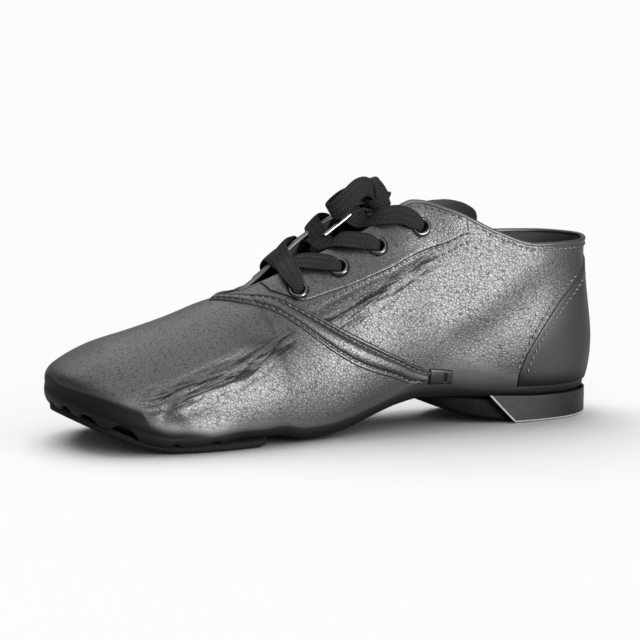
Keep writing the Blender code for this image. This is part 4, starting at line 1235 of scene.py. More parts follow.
def build_band():
    across = np.linspace(0, 1, BAND_ROWS)
    positions, shares = band_places(across, BAND_STEPS)
    ends = rounded_height(np.linspace(0, 1, len(positions)), BAND_LENGTH)
    height = table_at(BAND_PROFILE, across)[None] * MM * ends[:, None]
    return laid_panel("instep_band", positions, shares, height)


stands_for(build_band(), "panel_leather", "vamp_band")

# %% [markdown]
# ## Turned edges
# The open edge of collar and throat is folded over, so it is round and not a sharp cut. A thin bead
# is run along it. It could be a curve with a bevel; a tube made from loops of points can also be
# oval and taper, and the stitches, laces and soles below use it too.

# %% Tubes
def tube(loops):
    """Points and faces of a tube through loops of points, with a fan to a middle point at both ends."""
    loops = np.asarray(loops)
    rings, around = loops.shape[:2]
    points = np.vstack([loops.reshape(-1, 3), loops[0].mean(0), loops[-1].mean(0)])
    quads = quads_of(grid_of(loops.shape).T, closed=True)
    here = np.arange(around)
    after = np.roll(here, -1)
    last = (rings - 1) * around
    start = np.column_stack([here, after, np.full((around, 2), rings * around)])
    end = np.column_stack([last + after, last + here, np.full((around, 2), rings * around + 1)])
    return points, np.vstack([quads, start, end])


def circle(count):
    return np.linspace(0, 2 * math.pi, count, endpoint=False)


def round_tube(track, half, out, around):
    """Loops of a round tube along a track; out points away from the boot."""
    way = unit(np.gradient(track, axis=0))
    out = unit(out - np.sum(out * way, axis=1, keepdims=True) * way)
    up = np.cross(out, way)
    turn = circle(around)[None, :, None]
    return track[:, None] + (np.cos(turn) * out[:, None] * half + np.sin(turn) * up[:, None] * half)


print("faces of a tube of 3 loops of 4 points:", len(tube(np.zeros((3, 4, 3)))[1]))

# %% Collar edge
BEAD_HALF = 0.00105
BEAD_TURNS = 12
BEAD_STEPS = 420
BEAD_START = 0.04
BEAD_GRAIN = 0.45


def build_edge():
    positions = np.linspace(THROAT + BEAD_START, RIB_COUNT - THROAT - BEAD_START, BEAD_STEPS)
    outward = skin_normal(positions, np.full(len(positions), 1.0))
    track = leather_at(positions, 1.0) - outward * WALL / 2
    points, faces = tube(round_tube(track, BEAD_HALF, outward, BEAD_TURNS))
    return make_piece("collar_edge", points, faces, [panel_leather], grain=np.full(len(points), BEAD_GRAIN))


stands_for(build_edge(), "black_leather")

# %% [markdown]
# ## Stitches
# Seams show as rows of short thread ends. A bump or a dashed line would go flat in a close view, so
# the stitches are real: small grains of thread, joined in one mesh for each seam, each lying in the
# direction of its seam and partly sunk in the leather.

# %% Stitch rows
STITCH_PITCH = 0.0030
STITCH_LENGTH = 0.0023
STITCH_HALF = 0.00045
STITCH_RINGS = 5
STITCH_TURNS = 6
STITCH_TAPER = 0.8
STITCH_SINK = 1.6


def read_along(at, run, rows):
    """Rows of points read at distances along their line."""
    return np.column_stack([np.interp(at, run, rows[:, column]) for column in range(3)])


def stitch_row(name, positions, shares, lift):
    """One mesh of short thread grains along a line on the leather."""
    track = leather_at(positions, shares, lift)
    outward = skin_normal(positions, shares)
    run = run_along(track)
    steps = np.linspace(0, 1, STITCH_RINGS)
    swell = np.sqrt(1 - (2 * steps - 1) ** 2 * STITCH_TAPER)
    all_points = []
    all_faces = []
    for start in np.arange(STITCH_PITCH / 2, run[-1] - STITCH_LENGTH, STITCH_PITCH):
        at = start + steps * STITCH_LENGTH
        out = read_along(at, run, outward)
        sink = STITCH_HALF * (2 * swell - STITCH_SINK)
        middle = read_along(at, run, track) + unit(out) * sink[:, None]
        loops = round_tube(middle, STITCH_HALF, out, STITCH_TURNS)
        points, faces = tube(middle[:, None] + (loops - middle[:, None]) * swell[:, None, None])
        all_faces.append(faces + len(all_points) * len(points))
        all_points.append(points)
    row = make_piece(name, np.vstack(all_points), np.vstack(all_faces), [black_thread])
    return stands_for(row, "black_cotton")


print("stitches in 100 mm:", round(0.1 / STITCH_PITCH))

# %% Seams
SEAM_STEPS = 160
Seam = namedtuple("Seam", "name lift places")
SEAMS = [
    Seam("collar_stitch", 0.0, [
        (11.57, 0.975), (11.9, 0.965), (12.4, 0.965), (12.9, 0.968), (13.4, 0.962), (14.2, 0.962),
        (15.0, 0.962)]),
    Seam("lacing_stitch", 0.75, [(9.66, 0.955), (10.1, 0.965), (10.5, 0.97), (11.0, 0.975), (11.3, 0.972)]),
    Seam("panel_stitch_high", 0.0, [
        (6.84, 0.663), (7.69, 0.656), (8.62, 0.663), (9.71, 0.665), (10.65, 0.775), (11.35, 0.905)]),
    Seam("panel_stitch_low", 0.0, [
        (7.1, 0.61), (7.8, 0.615), (8.8, 0.63), (9.97, 0.645), (10.9, 0.765), (11.45, 0.885)]),
    Seam("counter_stitch_high", 0.0, [
        (13.9, 0.775), (13.42, 0.66), (13.05, 0.50), (12.8, 0.375), (12.55, 0.235), (12.38, 0.08)]),
    Seam("counter_stitch_low", 0.72, [
        (14.2, 0.76), (13.7, 0.64), (13.3, 0.50), (13.0, 0.36), (12.75, 0.20), (12.62, 0.06)]),
]
# The grooves of the band, as shares across it
BAND_SEAMS = (("band_stitch_high", 0.22), ("band_stitch_low", 0.84))
for side_name, mirrored in SIDES:
    for seam in SEAMS:
        positions, shares = line_on_skin(seam.places, SEAM_STEPS, mirrored)
        stitch_row(seam.name + "_" + side_name, positions, shares, seam.lift * MM)
for row_name, across in BAND_SEAMS:
    positions, shares = (grid[:, 0] for grid in band_places(np.array([across]), SEAM_STEPS))
    stitch_row(row_name, positions, shares, table_at(BAND_PROFILE, [across])[0] * MM)

# %% [markdown]
# ## Eyelets
# An eyelet is a turned part: a short barrel through the leather, rolled over outside into a round
# rim. A profile of radius and height is swung about the eyelet's axis, as a screw modifier would do.

# %% Eyelets
EYELET_BORE = 0.0025
EYELET_BARREL = 0.0029
EYELET_RIM = 0.0044
EYELET_REACH = 0.0024
RIM_LIFT = 0.0006
RIM_HEIGHT = 0.0012
RIM_UNDER = 0.0004
RIM_STEPS = 12
EYELET_TURNS = 48


def eyelet_profile():
    """Closed outline of the eyelet's wall: rolled rim outside, barrel inside."""
    middle = (EYELET_RIM + EYELET_BORE) / 2
    half = (EYELET_RIM - EYELET_BORE) / 2
    roll = np.linspace(0, math.pi, RIM_STEPS)
    crown = [(middle + half * math.cos(t), RIM_LIFT + RIM_HEIGHT * math.sin(t)) for t in roll]
    barrel = [(EYELET_BORE, -EYELET_REACH), (EYELET_BARREL, -EYELET_REACH), (EYELET_BARREL, RIM_UNDER)]
    return np.array(crown + barrel)


def build_eyelet(name, number, mirrored):
    centre, axis = eyelet_place(number, mirrored)
    side = unit(np.cross(axis, np.array([1.0, 0.0, 0.0])))
    turn = circle(EYELET_TURNS)[:, None]
    ways = np.cos(turn) * side + np.sin(turn) * np.cross(axis, side)
    profile = eyelet_profile()
    points = centre + ways[:, None] * profile[None, :, :1] + axis * profile[None, :, 1:]
    index = grid_of(points.shape)
    quads = quads_of(np.column_stack([index, index[:, :1]]), closed=True)
    return make_piece(name, points.reshape(-1, 3), quads, [black_enamel])


for side_name, mirrored in SIDES:
    for number in range(len(EYELETS)):
        name = "_%s_%d" % (side_name, number + 1)
        stands_for(build_eyelet("rolled_eyelet" + name, number, mirrored), "black_enamel", "eyelet" + name)

# %% [markdown]
# ## Laces over the throat
# A flat lace is a ribbon with soft round edges. Its middle line is a curve through a few places,
# and every place also says which way the ribbon faces, how wide it is and how thick. It narrows
# and thickens where it is pulled through an eyelet. A curve with a bevel can only be scaled as a
# whole, so the ribbon is made from loops of points.

# %% Flat lace
LACE_WIDTH = 0.0085
LACE_THICK = 0.0012
LACE_AROUND = 20
LACE_STEP = 0.0009
FLAT_POWER = 0.75
BULGE_POWER = 0.8


def curve_through(places):
    """Curve through a few places, in steps of the same length."""
    places = np.asarray(places, float)
    run = run_along(places[:, :3])
    slopes = np.gradient(places, run, axis=0)
    at = np.linspace(0, run[-1], int(run[-1] / LACE_STEP))
    first = np.clip(np.searchsorted(run, at, side="right") - 1, 0, len(run) - 2)
    step = run[first + 1] - run[first]
    return hermite(places, slopes, first, first + 1, step, (at - run[first]) / step)


def across_of(path):
    """Direction across a ribbon, from its places and facings."""
    return np.cross(path[:, 3:6], np.gradient(path[:, :3], axis=0))


def lace_points(track, across, width, thickness):
    """Tube points and faces of a ribbon, with its pattern's millimetres across and along."""
    way = unit(np.gradient(track, axis=0))
    out = unit(np.cross(way, across))
    side = np.cross(out, way)
    turn = circle(LACE_AROUND)
    flat = np.sign(np.cos(turn)) * np.abs(np.cos(turn)) ** FLAT_POWER
    bulge = np.sign(np.sin(turn)) * np.abs(np.sin(turn)) ** BULGE_POWER
    wide = side[:, None] * flat[None, :, None] * width[:, None, None] / 2
    thick = out[:, None] * bulge[None, :, None] * thickness[:, None, None] / 2
    points, faces = tube(track[:, None] + wide + thick)
    run = run_along(track)
    u = (flat[None] * width[:, None] / 2).ravel()
    v = np.repeat(run, LACE_AROUND)
    pattern = np.column_stack([np.append(u, [0, 0]), np.append(v, [0, run[-1]])]) / MM
    return points, faces, pattern


def lace_piece(name, *ribbons):
    """One mesh of ribbons in braid, with the map that the braid needs."""
    points, faces, pattern = zip(*ribbons)
    starts = np.cumsum([0] + [len(part) for part in points])
    joined = np.vstack([part + start for part, start in zip(faces, starts)])
    piece = make_piece(name, np.vstack(points), joined, [black_braid])
    mesh = piece.data
    corner = np.zeros(len(mesh.loops), np.int32)
    mesh.loops.foreach_get("vertex_index", corner)
    spread = np.vstack(pattern)[corner].astype(np.float32)
    mesh.uv_layers.new(name="braid").data.foreach_set("uv", spread.ravel())
    return piece


print("lace", LACE_WIDTH / MM, "mm wide")

# %% [markdown]
# Three pairs of straps cross over the throat. The lowest pair starts on the outside of its eyelets;
# the others come out from under the edge. At its upper end each strap lies on the panel, bends over
# the rim of its eyelet and goes down the bore.

# %% Ends of a strap
# Millimetres towards the strap and above the leather, how far it has tipped over, and its section
Dip = namedtuple("Dip", "ahead lift tip width thickness")
EYELET_DIPS = [
    Dip(4.2, 2.75, 0.0, 7.6, 1.3), Dip(1.6, 2.55, 0.25, 6.0, 1.6),
    Dip(0.1, 1.0, 0.9, 4.7, 1.9), Dip(-0.2, -2.6, 1.0, 4.5, 1.9),
]


def strap_stop(position, share, inner, lift):
    """One row of a strap: place, facing, width and thickness."""
    position = np.array([on_side(position, inner)])
    share = np.array([share])
    normal = skin_normal(position, share)[0]
    return np.concatenate([skin(position, share)[0] + normal * lift, normal, [LACE_WIDTH, LACE_THICK]])


def into_eyelet(index, inner, coming_from):
    """Rows that bend over the rim and go down the bore."""
    centre, axis = eyelet_place(index, inner)
    toward = unit(coming_from - centre - axis * np.dot(coming_from - centre, axis))
    rows = []
    for dip in EYELET_DIPS:
        facing = unit(axis * (1 - dip.tip) - toward * dip.tip)
        place = centre + toward * dip.ahead * MM + axis * dip.lift * MM
        rows.append(np.concatenate([place, facing, [dip.width * MM, dip.thickness * MM]]))
    return rows


print("rows from the panel into an eyelet:", len(EYELET_DIPS))

# %% Three crossings
LEAVE_SPAN = 0.08
EDGE_SPAN = 0.32
STRAP_LIFT = 0.0026
EDGE_LIFT = 0.0027
LACE_SAG = 0.0020
CROSS_LIFT = 0.0008
UNDER_LIFT = 0.0030
UNDER_SHARE = 0.05


def strap_rows(index, low_inner):
    """Rows of one strap, from the lower eyelet's side to the next eyelet opposite."""
    low, low_share = EYELETS[index]
    high, high_share = EYELETS[index + 1]
    span = high - low
    edge = strap_stop(low + EDGE_SPAN * span, 1.0, not low_inner, EDGE_LIFT)
    rest = strap_stop(low + (1 + EDGE_SPAN) / 2 * span, (1 + high_share) / 2, not low_inner, STRAP_LIFT)
    leave = strap_stop(low + LEAVE_SPAN * span, 1.0, low_inner, EDGE_LIFT if index == 0 else -UNDER_LIFT)
    if index == 0:
        begin = into_eyelet(index, low_inner, leave[:3])[::-1]
    else:
        begin = [strap_stop(low, low_share + UNDER_SHARE, low_inner, -UNDER_LIFT)]
    middle = (leave + edge) / 2
    middle[2] += (-CROSS_LIFT if low_inner else CROSS_LIFT) - LACE_SAG
    return np.array(begin + [leave, middle, edge, rest] + into_eyelet(index + 1, not low_inner, rest[:3]))


def build_strap(index, low_inner):
    path = curve_through(strap_rows(index, low_inner))
    return lace_points(path[:, :3], across_of(path), path[:, 6], path[:, 7])


for number in range(len(EYELETS) - 1):
    straps = [build_strap(number, low_inner) for low_inner in (False, True)]
    crossing = lace_piece("lace_straps_%d" % (number + 1), *straps)
    stands_for(crossing, "black_cotton", "lace_crossing_%d" % (number + 1))

# %% [markdown]
# ## The bow
# The two ends come up from under the top eyelets, meet in a small knot, and each makes a loop and a
# loose end. Each row of the tables is a place of the middle line, in percent of the boot's size, with
# the way the ribbon faces there and how far it is pinched. A simulated string would fall anew with
# every change; these rows stay where they are put.

# %% Lines of the bow
Cord = namedtuple("Cord", "along side height facing pinch", defaults=[1.0])
FRONT_CORD = [
    Cord(38.5, 12.8, 92.3, (0, 0.4, 0.9), 0.8), Cord(39.2, 7.3, 95.5, (0, 0.5, 0.8), 0.6),
    Cord(39.8, 3.5, 98.6, (-0.3, 0.8, 0.5), 0.45), Cord(40.6, 3.2, 102.0, (-0.3, 1, 0.2), 0.55),
    Cord(41.4, 4.0, 104.4, (-0.2, 1, 0.2), 0.8), Cord(42.5, 5.5, 106.2, (-0.1, 1, 0.3)),
    Cord(43.9, 7.2, 106.0, (0.1, 1, 0.3)), Cord(45.6, 8.3, 103.0, (0.1, 1, 0.2)),
    Cord(47.1, 7.8, 99.2, (0.3, 1, 0)), Cord(48.2, 5.4, 96.3, (0.6, 0.7, -0.3)),
    Cord(48.7, 1.7, 95.1, (0.8, 0, -0.5)), Cord(48.1, -2.0, 95.7, (0.5, -0.8, -0.3)),
    Cord(46.6, -3.5, 98.4, (0.1, -1, -0.1)), Cord(44.4, -4.4, 101.2, (0, -1, 0)),
    Cord(42.7, -3.9, 102.0, (0, -1, 0), 0.9), Cord(41.2, -2.4, 101.0, (-0.1, -1, 0.1), 0.6),
    Cord(40.2, -0.5, 99.2, (-0.5, -0.8, -0.2), 0.4), Cord(39.5, 0.7, 97.6, (-0.8, -0.3, -0.4), 0.4),
    Cord(39.8, 1.7, 95.9, (-0.5, 0, -0.8), 0.4), Cord(41.2, 2.6, 95.2, (0, 0, -1), 0.5),
    Cord(43.1, 3.4, 95.9, (-0.1, 0, -1), 0.75), Cord(44.8, 4.1, 94.8, (-0.5, 0, -0.8)),
    Cord(46.7, 4.6, 91.5, (-0.5, 0, -0.8)), Cord(48.7, 5.2, 88.2, (-0.5, 0, -0.8)),
    Cord(50.6, 5.7, 84.9, (-0.5, 0, -0.8)),
]
INNER_CORD = [
    Cord(40.7, -13.4, 93.3, (0, -0.3, 1), 0.8), Cord(40.3, -7.1, 95.7, (0, -0.5, 0.9), 0.65),
    Cord(40.3, -2.9, 98.4, (0.1, -0.9, 0.4), 0.6), Cord(40.7, -2.4, 101.6, (0.2, -1, 0.1), 0.75),
    Cord(40.9, -2.1, 105.6, (0.3, -1, 0.15), 0.75), Cord(40.8, -1.5, 107.9, (0.3, -0.7, 0.7), 0.6),
    Cord(40.6, 0.9, 109.2, (0.2, 0.1, 1), 0.5), Cord(40.4, 3.3, 107.9, (-0.1, 0.7, 0.7), 0.55),
    Cord(39.9, 3.9, 105.2, (-0.3, 1, 0.1), 0.7), Cord(39.3, 4.0, 100.8, (-0.3, 1, 0), 0.85),
    Cord(39.0, 2.3, 98.1, (-0.2, 0.9, -0.3), 0.6), Cord(39.2, -0.7, 97.1, (-0.2, 0.5, -0.9), 0.5),
    Cord(38.9, -4.9, 97.9, (-0.1, 0.2, -1), 0.6), Cord(38.2, -9.3, 100.0, (0, 0, -1), 0.8),
    Cord(37.3, -13.4, 101.2, (0, 0.1, -1)), Cord(36.1, -18.8, 100.4, (0, 0.5, -0.85)),
    Cord(35.4, -23.0, 96.0, (-0.15, 0.9, -0.4)), Cord(34.8, -25.0, 90.6, (-0.18, 0.94, -0.28)),
    Cord(34.3, -27.2, 84.9, (-0.16, 0.95, -0.26)), Cord(33.8, -29.3, 79.2, (-0.15, 0.96, -0.24)),
    Cord(33.3, -31.2, 73.4, (-0.14, 0.97, -0.22)),
]
print("places of the bow's two lines:", len(FRONT_CORD), "and", len(INNER_CORD))

# %% Laces of the bow
TIP_LENGTH = 0.017
TIP_WIDTH = 0.0020
TIP_THICK = 0.0018
TIP_FILL = 0.85
NARROWING = 0.012
PINCH_THICK = 0.7
tip_plastic = speckled("tip_plastic", grey(0.015), grey(0.030), 0.16, 600.0, 0.00003)


def cord_rows(cords):
    """Places in metres, facings and pinch of a table of cord rows."""
    size = BOOT_SIZE * PERCENT
    return np.array([np.concatenate([np.array(c[:3]) * size, c.facing, [c.pinch]]) for c in cords])


def build_cord(name, cords, nodes):
    """Lace from under the edge to its hard tip."""
    path = curve_through(cord_rows(cords))
    track, across, pinch = path[:, :3], across_of(path), path[:, 6]
    run = run_along(track)
    to_end = run[-1] - run
    narrow = eased_step((TIP_LENGTH + NARROWING - to_end) / NARROWING)
    width = LACE_WIDTH * pinch
    width = width + (TIP_WIDTH * TIP_FILL - width) * narrow
    thickness = LACE_THICK * (1 + PINCH_THICK - PINCH_THICK * pinch)
    thickness = thickness + (TIP_THICK * TIP_FILL - thickness) * narrow
    lace = stands_for(lace_piece(name, lace_points(track, across, width, thickness)), "black_cotton", *nodes)
    on_tip = to_end < TIP_LENGTH
    same = np.ones(int(on_tip.sum()))
    points, faces, pattern = lace_points(track[on_tip], across[on_tip], TIP_WIDTH * same, TIP_THICK * same)
    tip = stands_for(make_piece(name + "_tip", points, faces, [tip_plastic]), "black_enamel")
    return lace, tip, track


print("tips of", TIP_LENGTH / MM, "mm")

# %% Knot
KNOT = (39.7, 1.4, 98.4)
KNOT_STEPS = 60
KNOT_TURN = (-0.15, 2.15)
KNOT_SPREAD = 0.9
KNOT_THICK = 1.7
# Axis of each wrap, its two half sizes and its width in millimetres
Wrap = namedtuple("Wrap", "axis size width")
KNOT_WRAPS = [Wrap((1.0, -0.4, 0.1), (3.7, 3.4), 6.4), Wrap((0.35, -0.15, 0.9), (4.1, 4.2), 5.0)]


def build_wrap(wrap):
    """A ribbon once round the knot, a little like a screw."""
    centre = np.array(KNOT) * BOOT_SIZE * PERCENT
    turn = np.linspace(KNOT_TURN[0] * math.pi, KNOT_TURN[1] * math.pi, KNOT_STEPS)[:, None]
    axis = unit(np.array(wrap.axis))
    first = unit(np.cross(axis, np.array([0.0, 0.0, 1.0])))
    second = np.cross(first, axis)
    spread = np.linspace(-KNOT_SPREAD, KNOT_SPREAD, KNOT_STEPS)[:, None] * MM
    ring = np.cos(turn) * first * wrap.size[0] * MM + np.sin(turn) * second * wrap.size[1] * MM
    same = np.ones(KNOT_STEPS)
    across = np.tile(axis, (KNOT_STEPS, 1))
    return lace_points(centre + ring + axis * spread, across, wrap.width * MM * same, KNOT_THICK * MM * same)


bow_knot = lace_piece("bow_knot", *[build_wrap(wrap) for wrap in KNOT_WRAPS])
stands_for(bow_knot, "black_cotton", "lace_knot")

# %% [markdown]
# The front end lies in the throat and shows its hard tip; the other lies down over the inner side.

# %% Tie the bow
for name, cords, nodes, extra in (
        ("bow_front", FRONT_CORD, ("lace_loop_inner", "lace_end_front"), [bow_knot]),
        ("bow_inner", INNER_CORD, ("lace_loop_outer", "lace_end_inner"), [])):
    lace, tip, track = build_cord(name, cords, nodes)

# %% [markdown]
# ## Tongue and sock
# The tongue is an arched sheet under the throat, with a turned top edge that stands above the
# collar. The sock lies in the cup of the turned-under leather. Both are built from rows of points.
# The tongue's edge is rounded on the way, because a thickened plane would end in a sharp step.

# %% Middle line of the tongue
Spine = namedtuple("Spine", "along height half")
TONGUE = [
    Spine(70.0, 54.0, 20.0), Spine(64.5, 59.0, 22.0), Spine(58.9, 65.0, 23.4), Spine(50.8, 74.8, 23.4),
    Spine(42.7, 84.6, 23.0), Spine(36.3, 92.6, 22.8), Spine(31.5, 96.6, 22.8), Spine(27.2, 97.4, 22.4),
    Spine(23.8, 95.8, 21.0), Spine(21.4, 91.4, 17.0),
]
TONGUE_ARCH = 0.016
TONGUE_SIDE = 0.0012


def tongue_points(shares, across, lift):
    """Points of the tongue: share along its middle line, share across, height over its underside."""
    rows = np.array(TONGUE, float) * PERCENT
    spine = np.column_stack([rows[:, 0] * LENGTH, rows[:, 1] * TOP_HEIGHT, rows[:, 2] * BALL_WIDTH])
    run = run_along(spine[:, :2])
    run /= run[-1]
    place, after, before = (smooth(run, spine, np.clip(shares + step, 0, 1)) for step in (0, NUDGE, -NUDGE))
    way = unit((after - before)[:, :2])
    up = np.column_stack([way[:, 1], -way[:, 0]])
    rise = lift - TONGUE_ARCH * across[None] ** 2
    side = TONGUE_SIDE + place[:, 2:3] * across[None]
    return np.stack([place[:, :1] + up[:, :1] * rise, side, place[:, 1:2] + up[:, 1:] * rise], axis=-1)


tongue_ends = tongue_points(np.array([0.0, 1.0]), np.array([0.0]), 0.0)[:, 0]
print("tongue from", centred(tongue_ends[0]).round(3), "to", centred(tongue_ends[1]).round(3))

# %% Tongue
TONGUE_THICK = 0.0016
TONGUE_EDGE = 0.0012
TONGUE_HALF = 0.019
TONGUE_LENGTH = 0.13
TONGUE_STEPS = 90
TONGUE_ROWS = 48
# The tongue's grain is kept low, which also dulls it, so that it stays dark in the throat: painted shade.
TONGUE_GRAIN = 0.15
CLOSER_UP = 0.9
THIN_EDGE = 0.06
HEM_HEIGHT = 0.00045
HEM_WIDTH = 0.002
HEM_PLACE = 1.2


def build_tongue():
    shares = np.linspace(0, 1, TONGUE_STEPS) ** CLOSER_UP
    across = -np.cos(np.linspace(0, math.pi, TONGUE_ROWS))
    from_top = (1 - shares)[:, None] * TONGUE_LENGTH
    edge = np.minimum((1 - np.abs(across))[None] * TONGUE_HALF, from_top)
    body = np.sqrt(1 - (1 - np.clip(edge / TONGUE_EDGE, THIN_EDGE, 1)) ** 2)
    hem = HEM_HEIGHT * np.exp(-(from_top / HEM_WIDTH - HEM_PLACE) ** 2)
    half = (TONGUE_THICK / 2 + hem) * body
    over = tongue_points(shares, across, TONGUE_THICK / 2 + half).reshape(-1, 3)
    under = tongue_points(shares, across, TONGUE_THICK / 2 - half).reshape(-1, 3)
    quads = quads_of(grid_of((TONGUE_STEPS, TONGUE_ROWS)))
    points, faces = closed_sheet(over, under, quads)
    return make_piece("leather_tongue", points, faces, [panel_leather, lining_cloth], lined(faces, quads),
                      grain=np.full(len(points), TONGUE_GRAIN))


stands_for(build_tongue(), "tongue_leather", "tongue")

# %% Sock board
INSOLE_SHARES = (0.33, 0.15, 0.0, -0.2, -0.5, -1.0)
INSOLE_FRONT = 0.45
INSOLE_BACK = 0.5
INSOLE_LIFT = 0.0026
INSOLE_THICK = 0.0018
INSOLE_STEPS = 90


def eased_stations(start, end, count):
    """Numbers from start to end, closer together at both ends."""
    turn = np.linspace(0, math.pi, count)
    return start + (end - start) * (1 - np.cos(turn)) / 2


def build_insole():
    loops = []
    for position in eased_stations(INSOLE_FRONT, HEEL_POSITION - INSOLE_BACK, INSOLE_STEPS):
        outer = [margin(position, w)[0] for w in INSOLE_SHARES]
        inner = [margin(RIB_COUNT - position, w)[0] for w in INSOLE_SHARES[::-1]]
        under = np.array(outer + inner) + np.array([0, 0, INSOLE_LIFT])
        loops.append(np.vstack([under, under[::-1] + np.array([0, 0, INSOLE_THICK])]))
    return make_piece("sock_board", *tube(loops), [sock_cloth])


stands_for(build_insole(), "sock_lining", "insole")

# %% [markdown]
# ## The two soles
# Each pad is a row of cross-sections with rounded edges: flat below, following the foot's seat
# above. They could be boxes shaped by a lattice, but sections read from the ribs' own outline fit the
# leather above them.

# %% Outline and sections
OUTLINE_STEPS = 481
SOLE_ROUND = 0.0016
SOLE_BEND = 5
SOLE_SPAN = 14
SOLE_STEPS = 110


def outline(along, inset):
    """Outer and inner side of the sole's outline at distances from the heel seat."""
    outer = rib_parts(np.linspace(0, HEEL_POSITION, OUTLINE_STEPS)).low[::-1]
    inner = rib_parts(np.linspace(RIB_COUNT, HEEL_POSITION, OUTLINE_STEPS)).low[::-1]
    stretched = (along - LENGTH / 2) / (1 - 2 * inset / LENGTH) + LENGTH / 2
    lateral = np.interp(stretched, outer[:, 0], outer[:, 1]) - inset
    medial = np.interp(stretched, inner[:, 0], inner[:, 1]) + inset
    middle = (lateral + medial) / 2
    return np.maximum(lateral, middle + abs(inset)), np.minimum(medial, middle - abs(inset))


def sole_ring(along, lateral, medial, under, top):
    """One cross-section with rounded edges, counted from below on the outer side."""
    r = min(SOLE_ROUND, (top - under) / 2.2, (lateral - medial) / 5)
    bend = np.linspace(0, math.pi / 2, SOLE_BEND)
    span = np.linspace(medial + r, lateral - r, SOLE_SPAN)[1:-1]
    ring = np.vstack([
        np.column_stack([lateral - r + r * np.sin(bend), under + r - r * np.cos(bend)]),
        np.column_stack([lateral - r + r * np.cos(bend), top - r + r * np.sin(bend)]),
        np.column_stack([span[::-1], np.full(len(span), top)]),
        np.column_stack([medial + r - r * np.sin(bend), top - r + r * np.cos(bend)]),
        np.column_stack([medial + r - r * np.cos(bend), under + r - r * np.sin(bend)]),
        np.column_stack([span, np.full(len(span), under)]),
    ])
    return np.column_stack([np.full(len(ring), along), ring])


def build_pad(name, material, *rows):
    """A pad from rows of distances along, outer sides, inner sides, undersides and tops."""
    return make_piece(name, *tube([sole_ring(*row) for row in zip(*rows)]), [material])


ball_sides = outline(np.array([0.75 * LENGTH]), 0.0)
print("sole at the ball is", ((ball_sides[0] - ball_sides[1]) / MM).round(1), "mm wide")

# %% Front pad
# It has a round back and springs up at the toe
FOREFOOT_TREAD = [
    Level(63.2, 2.2), Level(65.5, 1.1), Level(69.0, 0.3), Level(72.0, 0.0), Level(78.0, 0.0),
    Level(82.5, 0.6), Level(88.3, 3.9), Level(92.7, 8.4), Level(97.2, 13.6), Level(100.0, 16.9),
]
PAD_INSET = 0.0012
SOLE_NOSE = 0.012
SOLE_POINT = 0.012


def build_front_pad():
    start = FOREFOOT_TREAD[0].along * PERCENT * LENGTH
    stations = eased_stations(start, rib_parts(0).low[0, 0] - PAD_INSET, SOLE_STEPS)
    lateral, medial = outline(stations, PAD_INSET)
    middle = (lateral + medial) / 2
    narrowing = np.sqrt(1 - (1 - np.clip((stations - start) / SOLE_NOSE, SOLE_POINT, 1)) ** 2)
    lateral = middle + (lateral - middle) * narrowing
    medial = middle + (medial - middle) * narrowing
    tread = level(FOREFOOT_TREAD, stations)
    return build_pad("front_pad", pad_rubber, stations, lateral, medial, tread, seat(stations) - GAP)


stands_for(build_front_pad(), "black_rubber", "forefoot_sole")

# %% Heel and shank
# The rear pad is the heel with the thin pointed shank in front of it
REAR_TREAD = [
    Level(0.0, 0.0), Level(17.0, 0.0), Level(23.0, 2.2), Level(27.8, 5.2), Level(31.5, 8.2),
    Level(35.0, 12.6),
]
Shank = namedtuple("Shank", "along half")
SHANK = [
    Shank(18.0, 29.8), Shank(23.5, 28.0), Shank(28.0, 24.0), Shank(32.0, 17.0), Shank(34.2, 10.0),
    Shank(35.2, 2.5),
]
COVER_OUTSET = 0.0008
COVER_WALL = 0.0012
HEEL_BACK = 1.3


def build_rear_pad():
    inset = COVER_WALL + GAP - COVER_OUTSET
    back = rib_parts(HEEL_POSITION).low[0, 0] + HEEL_BACK * inset
    stations = eased_stations(back, SHANK[-1].along * PERCENT * LENGTH, SOLE_STEPS)
    lateral, medial = outline(stations, inset)
    rows = np.array(SHANK, float) * PERCENT
    half = smooth(rows[:, 0] * LENGTH, rows[:, 1:] * BALL_WIDTH, stations)[:, 0]
    top = seat(stations) - GAP
    under = np.minimum(level(REAR_TREAD, stations), top - GAP)
    return build_pad("heel_and_shank", shank_rubber, stations, np.minimum(lateral, half),
                     np.maximum(medial, -half), under, top)


stands_for(build_rear_pad(), "black_rubber", "rear_sole")

# %% [markdown]
# ## The heel's wrap
# A strip of grey sheet is wrapped round the heel and cut off at a slant on both sides. The cut
# shows the sheet's pale core as a thin bright line along the slant and along the floor. The sheet
# is a grid round the heel, and the outermost faces take the pale material.

# %% Sheet round the heel
COVER_CLEAR = 0.0005
COVER_RISE = 0.0018
COVER_REACH = 4.5
BREAST_FOOT = 18.2
BREAST_TOP = 23.2
COVER_STEPS = 150
COVER_SHARES = np.array([0.0, 0.055, 0.09, 0.15, 0.3, 0.45, 0.6, 0.75, 0.88, 0.95, 1.0])
CUT_WIDTH = 0.0009
CUT_STEPS = np.array([0.0, 0.35, 0.7, 1.0])
HEEL_STEPS = 1500


def heel_path(inset, along):
    """Heel outline from the outer breast, round the back, to the inner breast."""
    rib = rib_parts(np.linspace(HEEL_POSITION - COVER_REACH, HEEL_POSITION + COVER_REACH, HEEL_STEPS))
    track = rib.low[:, :2] - rib.outward * inset
    reach = np.flatnonzero(track[:, 0] <= along)
    track = track[reach[0]:reach[-1] + 1]
    run = run_along(track)
    ends = CUT_STEPS * CUT_WIDTH
    middle = np.linspace(ends[-1], run[-1] - ends[-1], COVER_STEPS)[1:-1]
    at = np.concatenate([ends, middle, run[-1] - ends[::-1]])
    return np.column_stack([np.interp(at, run, track[:, 0]), np.interp(at, run, track[:, 1])])


